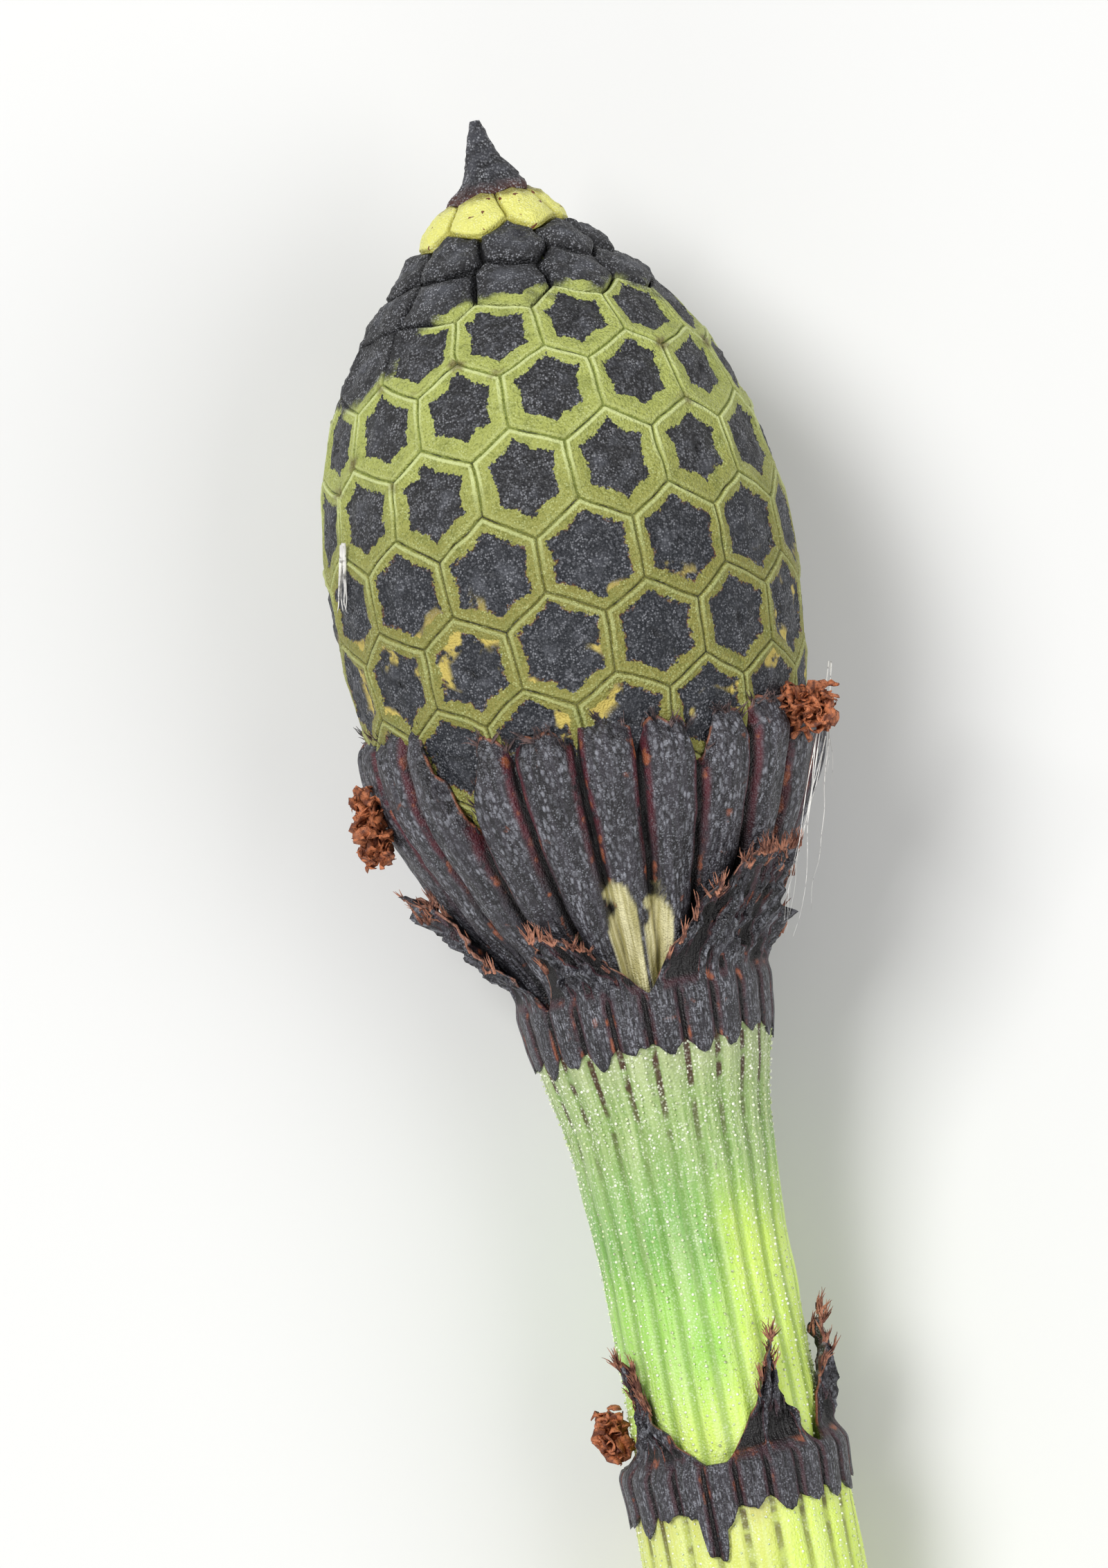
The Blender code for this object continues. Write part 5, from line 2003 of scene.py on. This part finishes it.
@dataclass
class Stem:
    """The two internodes with their ribs, canals and rows of silica bumps."""

    effects: SharedEffects
    phase: float = -1.0
    rib_height: float = 0.046
    columns_per_rib: int = 12
    lower_radius: float = 1.76
    canal_radius: float = 1.15
    row_step: float = 0.16
    bump_step: float = 0.105
    bump_radius: float = 0.025

    def __post_init__(self) -> None:
        """Prepares the values that place a tree's result on the shoot."""
        self.placing = {"Lean": SHOOT.lean, "Middle": SHOOT.middle,
                        "Half_Length": SHOOT_LENGTH / 2 * MM,
                        "Phase": math.radians(self.phase), "Ribs": RIBS}

    def upper_profile(self) -> list[tuple[float, float, float]]:
        """(radius, depth, share of the rib height) down the upper internode and back.

        Returns:
            The profile, closed on the axis at both ends.
        """
        depths = np.arange(14.55, 21.95, self.row_step)
        wall = [(float(UPPER_STEM_RADIUS(d)), d, 1.0) for d in depths]
        return [(0.0, 14.5, 0.0), (1.5, 14.5, 0.0), *wall, (1.2, 21.97, 0.0), (0.0, 21.97, 0.0)]

    def lower_profile(self) -> list[tuple[float, float, float]]:
        """(radius, depth, share of the rib height), with the canal at the cut end.

        Returns:
            The profile, closed on the axis at both ends.
        """
        depths = np.arange(22.12, SHOOT_LENGTH - 0.05, self.row_step)
        wall = [(self.lower_radius, d, 1.0) for d in depths]
        cut = [(self.lower_radius - 0.004, SHOOT_LENGTH - 0.012, 1.0)]
        cut += [(r, SHOOT_LENGTH, 0.0) for r in np.arange(1.68, 1.20, -0.04)]
        canal = [(self.canal_radius + 0.02, SHOOT_LENGTH - 0.01, 0.0)]
        canal += [(self.canal_radius, d, 0.0) for d in np.arange(29.9, 22.6, -0.7)]
        return [(0.0, 22.05, 0.0), (1.5, 22.05, 0.0), *wall, *cut, *canal, (0.0, 22.6, 0.0)]

    def internode(self, tree: GeometryGraph, name: str, profile: list, slot: Slot,
                  finish: StemFinish) -> None:
        """Turns one profile into a ribbed internode.

        Args:
            tree: The tree that does it.
            name: The internode's name in the frame, which its piece stands for.
            profile: (radius, depth, share of the rib height), in millimetres.
            slot: Its slot.
            finish: Its finish.
        """
        points = [(radius * MM, depth * MM, share) for radius, depth, share in profile]
        piece = tree.run(
            name.replace("internode", "stem"), points,
            [(i, i + 1) for i in range(len(points) - 1)],
            Columns=RIBS * self.columns_per_rib, Rib_Height=self.rib_height * MM,
            Wobble=0.14 * MM, Rest_Radius=SHOOT.cut_end_radius * MM,
            Rest_Slope=math.tan(SHOOT.lean), Length=SHOOT_LENGTH * MM, Canal_Ring=1.44 * MM,
            Canal_Width=0.11 * MM, Material=finish.material(), **self.placing,
        )
        close_mesh(piece.data)
        dress(piece, slot, name)

    def bumps(self, tree: GeometryGraph, name: str, profile: list, span: tuple[float, float],
              slot: Slot, material: bpy.types.Material, seed: int) -> None:
        """Sets the rows of bumps on one internode.

        Args:
            tree: The tree that does it.
            name: The piece's name.
            profile: (radius, depth) points down the internode, in millimetres.
            span: The depths between which the bumps lie.
            slot: Their slot.
            material: Their finish.
            seed: The seed of their random places and sizes.
        """
        points = [(float(radius) * MM, float(depth) * MM, 0.0) for radius, depth in profile]
        piece = tree.run(
            name, points, [(i, i + 1) for i in range(len(points) - 1)],
            Rows=int((span[1] - span[0]) / self.bump_step), Shoulder=0.17,
            From=span[0] * MM, To=span[1] * MM, Bump_Radius=self.bump_radius * MM,
            Scatter=0.035 * MM, Seed=seed, Material=material, **self.placing,
        )
        dress(piece, slot)

    def build(self) -> None:
        """Builds both internodes and their bumps."""
        upper = StemFinish(self.effects, "upper_stem", (
            (14.9, rgb(160, 172, 122)), (16.2, rgb(142, 172, 98)), (18.0, rgb(122, 176, 84)),
            (19.6, rgb(158, 212, 92)), (21.8, rgb(214, 238, 108)),
        ))
        lower = StemFinish(self.effects, "lower_stem", (
            (22.2, rgb(196, 190, 104)), (22.9, rgb(214, 222, 112)), (24.6, rgb(198, 218, 100)),
            (30.0, rgb(172, 204, 88)),
        ), furrow=rgb(150, 166, 66), lit_from=21.0, brown_furrows_until=24.2)
        tree = ribbed_stem_tree()
        self.internode(tree, "upper_internode", self.upper_profile(), Slot.UPPER_STEM, upper)
        self.internode(tree, "lower_internode", self.lower_profile(), Slot.LOWER_STEM, lower)
        silica = TissueFinish("silica_bumps", rgb(212, 226, 168), rgb(250, 253, 236), 0.3,
                              0.25, 0.004).material()
        tree = silica_bumps_tree()
        wall = [(UPPER_STEM_RADIUS(d), d) for d in np.arange(14.9, 21.8, 0.3)]
        self.bumps(tree, "upper_silica", wall, (15.1, 21.6), Slot.UPPER_STEM, silica, 3)
        wall = [(self.lower_radius, 22.3), (self.lower_radius, 29.9)]
        self.bumps(tree, "lower_silica", wall, (22.6, 29.8), Slot.LOWER_STEM, silica, 5)


@dataclass(frozen=True)
class Bunch:
    """One bunch of withered shreds: its place on the shoot and its half size."""

    node: str
    turn: float
    depth: float
    radius: float
    half_size: tuple[float, float, float]
    strips: int = 95


@dataclass
class Shreds:
    """The rust-brown shreds left of the teeth, and the loose fibres and silk."""

    bunches: tuple[Bunch, ...] = (
        Bunch("withered_tip_right", 62.0, 10.25, 3.88, (0.50, 0.44, 0.34)),
        Bunch("withered_tip_left", -80.0, 10.80, 3.84, (0.24, 0.80, 0.46), 130),
        Bunch("withered_tip_node", -88.0, 21.1, 1.84, (0.20, 0.46, 0.28), 80),
    )
    silk: tuple[tuple[float, float, float, float, float, float], ...] = (
        (10.5, 64.0, 3.92, 13.7, 52.0, 2.95), (10.8, 70.0, 3.86, 13.5, 62.0, 3.00),
        (9.6, 84.0, 3.95, 11.6, 70.0, 3.60),
    )
    torn_scale: tuple[float, float, float, float, float, float] = (
        6.35, -61.0, 3.80, 7.35, -67.0, 3.86,
    )

    @staticmethod
    def fibres(tree: GeometryGraph, name: str, lines: Lines, slot: Slot,
               material: bpy.types.Material, **values: Any) -> None:
        """Draws fibres along lines that are given along the shoot's own axes.

        Args:
            tree: The tree that draws them.
            name: The piece's name.
            lines: The lines to follow.
            slot: Its slot.
            material: Its finish.
            **values: The tree's other inputs.
        """
        points = SHOOT.world(np.array(lines)).tolist()
        edges = [(i, i + 1) for i in range(0, len(points), 2)]
        dress(tree.run(name, points, edges, Material=material, **values), slot)

    def build(self, walls: dict[str, Wall]) -> None:
        """Builds every bunch in place of its node, and the fibres on the sheaths' rims.

        Args:
            walls: The sheaths' walls by name.
        """
        strips = curled_strips_tree()
        rust = TissueFinish("withered", rgb(104, 52, 30), rgb(196, 118, 76), 0.12, 0.62, 0.012)
        material = rust.material()
        for number, bunch in enumerate(self.bunches):
            place = SHOOT.own(bunch.depth, bunch.turn, bunch.radius)
            shreds = strips.run(
                f"{bunch.node}_shreds", [(0, 0, 0)], [], Strips=bunch.strips,
                Half_Size=Vector(bunch.half_size) * MM, Strip_Length=0.34 * MM,
                Strip_Width=0.13 * MM, Crumple=0.22 * MM, Centre=Vector(SHOOT.world(place)[0]),
                Lean=SHOOT.lean, Seed=number * 7 + 2, Material=material,
            )
            dress(shreds, Slot.WITHERED, bunch.node)

        tree = loose_fibres_tree()
        brown = TissueFinish("dry_fibres", rgb(96, 56, 44), rgb(184, 126, 100), 0.2, 0.6,
                             0.006).material()
        dark = TissueFinish("rim_fibres", rgb(44, 38, 42), rgb(112, 88, 84), 0.2, 0.55,
                            0.006).material()
        white = TissueFinish("silk", rgb(206, 204, 200), rgb(248, 246, 240), 0.4, 0.35,
                             0.002).material()
        rims = (
            ("cup_frays", walls["cup"].edge_lines(150, (0.02, 0.16), 4), dark),
            ("shoulder_frays", walls["shoulder"].edge_lines(150, (0.03, 0.24), 5, 0.5), brown),
            ("node_frays", walls["node"].edge_lines(90, (0.03, 0.26), 6, 0.9), brown),
        )
        for number, (name, lines, finish) in enumerate(rims):
            self.fibres(tree, name, lines, Slot.SHEATH, finish, Fibres=3, Points=6,
                        Spread=0.05 * MM, Wave=0.07 * MM, Wave_Size=0.25 * MM,
                        Thickness=0.017 * MM, Seed=number)
        threads = [(SHOOT.own(*line[:3]), SHOOT.own(*line[3:])) for line in self.silk]
        self.fibres(tree, "silk_threads", threads, Slot.WITHERED, white, Fibres=3, Points=24,
                    Spread=0.16 * MM, Wave=0.22 * MM, Wave_Size=1.4 * MM,
                    Thickness=0.008 * MM, Seed=11)
        scale = [(SHOOT.own(*self.torn_scale[:3]), SHOOT.own(*self.torn_scale[3:]))]
        self.fibres(tree, "torn_scale", scale, Slot.SHIELDS, white, Fibres=5, Points=12,
                    Spread=0.07 * MM, Wave=0.07 * MM, Wave_Size=0.4 * MM,
                    Thickness=0.030 * MM, Seed=12)


@dataclass(frozen=True)
class Studio:
    """The pale floor, the soft lights and the camera that looks down on the shoot."""

    tip_pixel: tuple[float, float] = (685.0, 175.0)
    axis_lean_degrees: float = 10.97
    lens: float = 150.0
    sensor: float = 36.0
    floor_half: float = 400.0
    floor_colour: tuple[float, float, float, float] = (0.78, 0.78, 0.77, 1)
    floor_roughness: float = 0.9
    sky_strength: float = 0.35
    lights: tuple[tuple[str, tuple[float, float, float], float, float], ...] = (
        ("key", (-120, 90, 240), 110, 0.60), ("fill", (170, -60, 200), 200, 0.30),
        ("low_back", (-60, -240, 90), 140, 0.12),
    )

    def build_floor(self) -> None:
        """Lays the floor under the shoot."""
        mesh = bpy.data.meshes.new("floor")
        half = self.floor_half * MM
        mesh.from_pydata([(-half, -half, 0), (half, -half, 0), (half, half, 0),
                          (-half, half, 0)], [], [(0, 1, 2, 3)])
        floor = bpy.data.objects.new("floor", mesh)
        bpy.context.scene.collection.objects.link(floor)
        material = bpy.data.materials.new("floor")
        material.use_nodes = True
        shader = material.node_tree.nodes["Principled BSDF"]
        shader.inputs["Base Color"].default_value = self.floor_colour
        shader.inputs["Roughness"].default_value = self.floor_roughness
        mesh.materials.append(material)

    def build_camera(self) -> None:
        """Sets the camera square to the shoot, framed as in the photograph."""
        lean = math.radians(self.axis_lean_degrees)
        dx = PHOTO_WIDTH / 2 - self.tip_pixel[0]
        dy = PHOTO_HEIGHT / 2 - self.tip_pixel[1]
        across = (math.cos(lean) * dx - math.sin(lean) * dy) / PIXELS_PER_MM
        depth = (math.sin(lean) * dx + math.cos(lean) * dy) / PIXELS_PER_MM
        turned = SHOOT.matrix
        target = turned @ (Vector((across, SHOOT_LENGTH / 2 - depth, 0)) * MM)
        right, along, out = turned.to_3x3().transposed()
        up = along * math.cos(lean) + right * math.sin(lean)
        side = right * math.cos(lean) - along * math.sin(lean)
        distance = self.lens / self.sensor * PHOTO_HEIGHT / PIXELS_PER_MM * MM
        camera_data = bpy.data.cameras.new("camera")
        camera_data.lens = self.lens
        camera_data.sensor_width = self.sensor
        camera_data.clip_start = 1 * MM
        camera_data.clip_end = 10
        camera = bpy.data.objects.new("camera", camera_data)
        bpy.context.scene.collection.objects.link(camera)
        matrix = Matrix((side, up, out)).transposed().to_4x4()
        matrix.translation = target + out * distance
        camera.matrix_world = matrix
        bpy.context.scene.camera = camera

    def build_lights(self) -> None:
        """Adds the soft square lights, given from the middle of the shoot, and the sky."""
        for name, place, size, watts in self.lights:
            data = bpy.data.lights.new(name, "AREA")
            data.shape = "SQUARE"
            data.size = size * MM
            data.energy = watts
            light = bpy.data.objects.new(name, data)
            bpy.context.scene.collection.objects.link(light)
            light.location = SHOOT.middle + Vector(place) * MM
            light.rotation_euler = Vector(place).to_track_quat("Z", "Y").to_euler()
        world = bpy.data.worlds.new("studio")
        world.use_nodes = True
        background = world.node_tree.nodes["Background"]
        background.inputs["Color"].default_value = (1, 1, 1, 1)
        background.inputs["Strength"].default_value = self.sky_strength
        bpy.context.scene.world = world
        bpy.context.scene.view_settings.view_transform = "Standard"

    def build(self) -> None:
        """Builds the whole studio."""
        self.build_floor()
        self.build_camera()
        self.build_lights()


def main() -> None:
    """Builds the studio and the shoot, piece by piece."""
    logging.basicConfig(level=logging.INFO, format="%(message)s")
    Studio().build()
    effects = SharedEffects()
    Cone(effects).build()
    walls = {
        "cup": CupSheath(effects).build(),
        "shoulder": shoulder_sheath(effects).build(),
        "node": node_sheath(effects).build(),
    }
    Stem(effects).build()
    Shreds().build(walls)


if __name__ == "__main__":
    main()
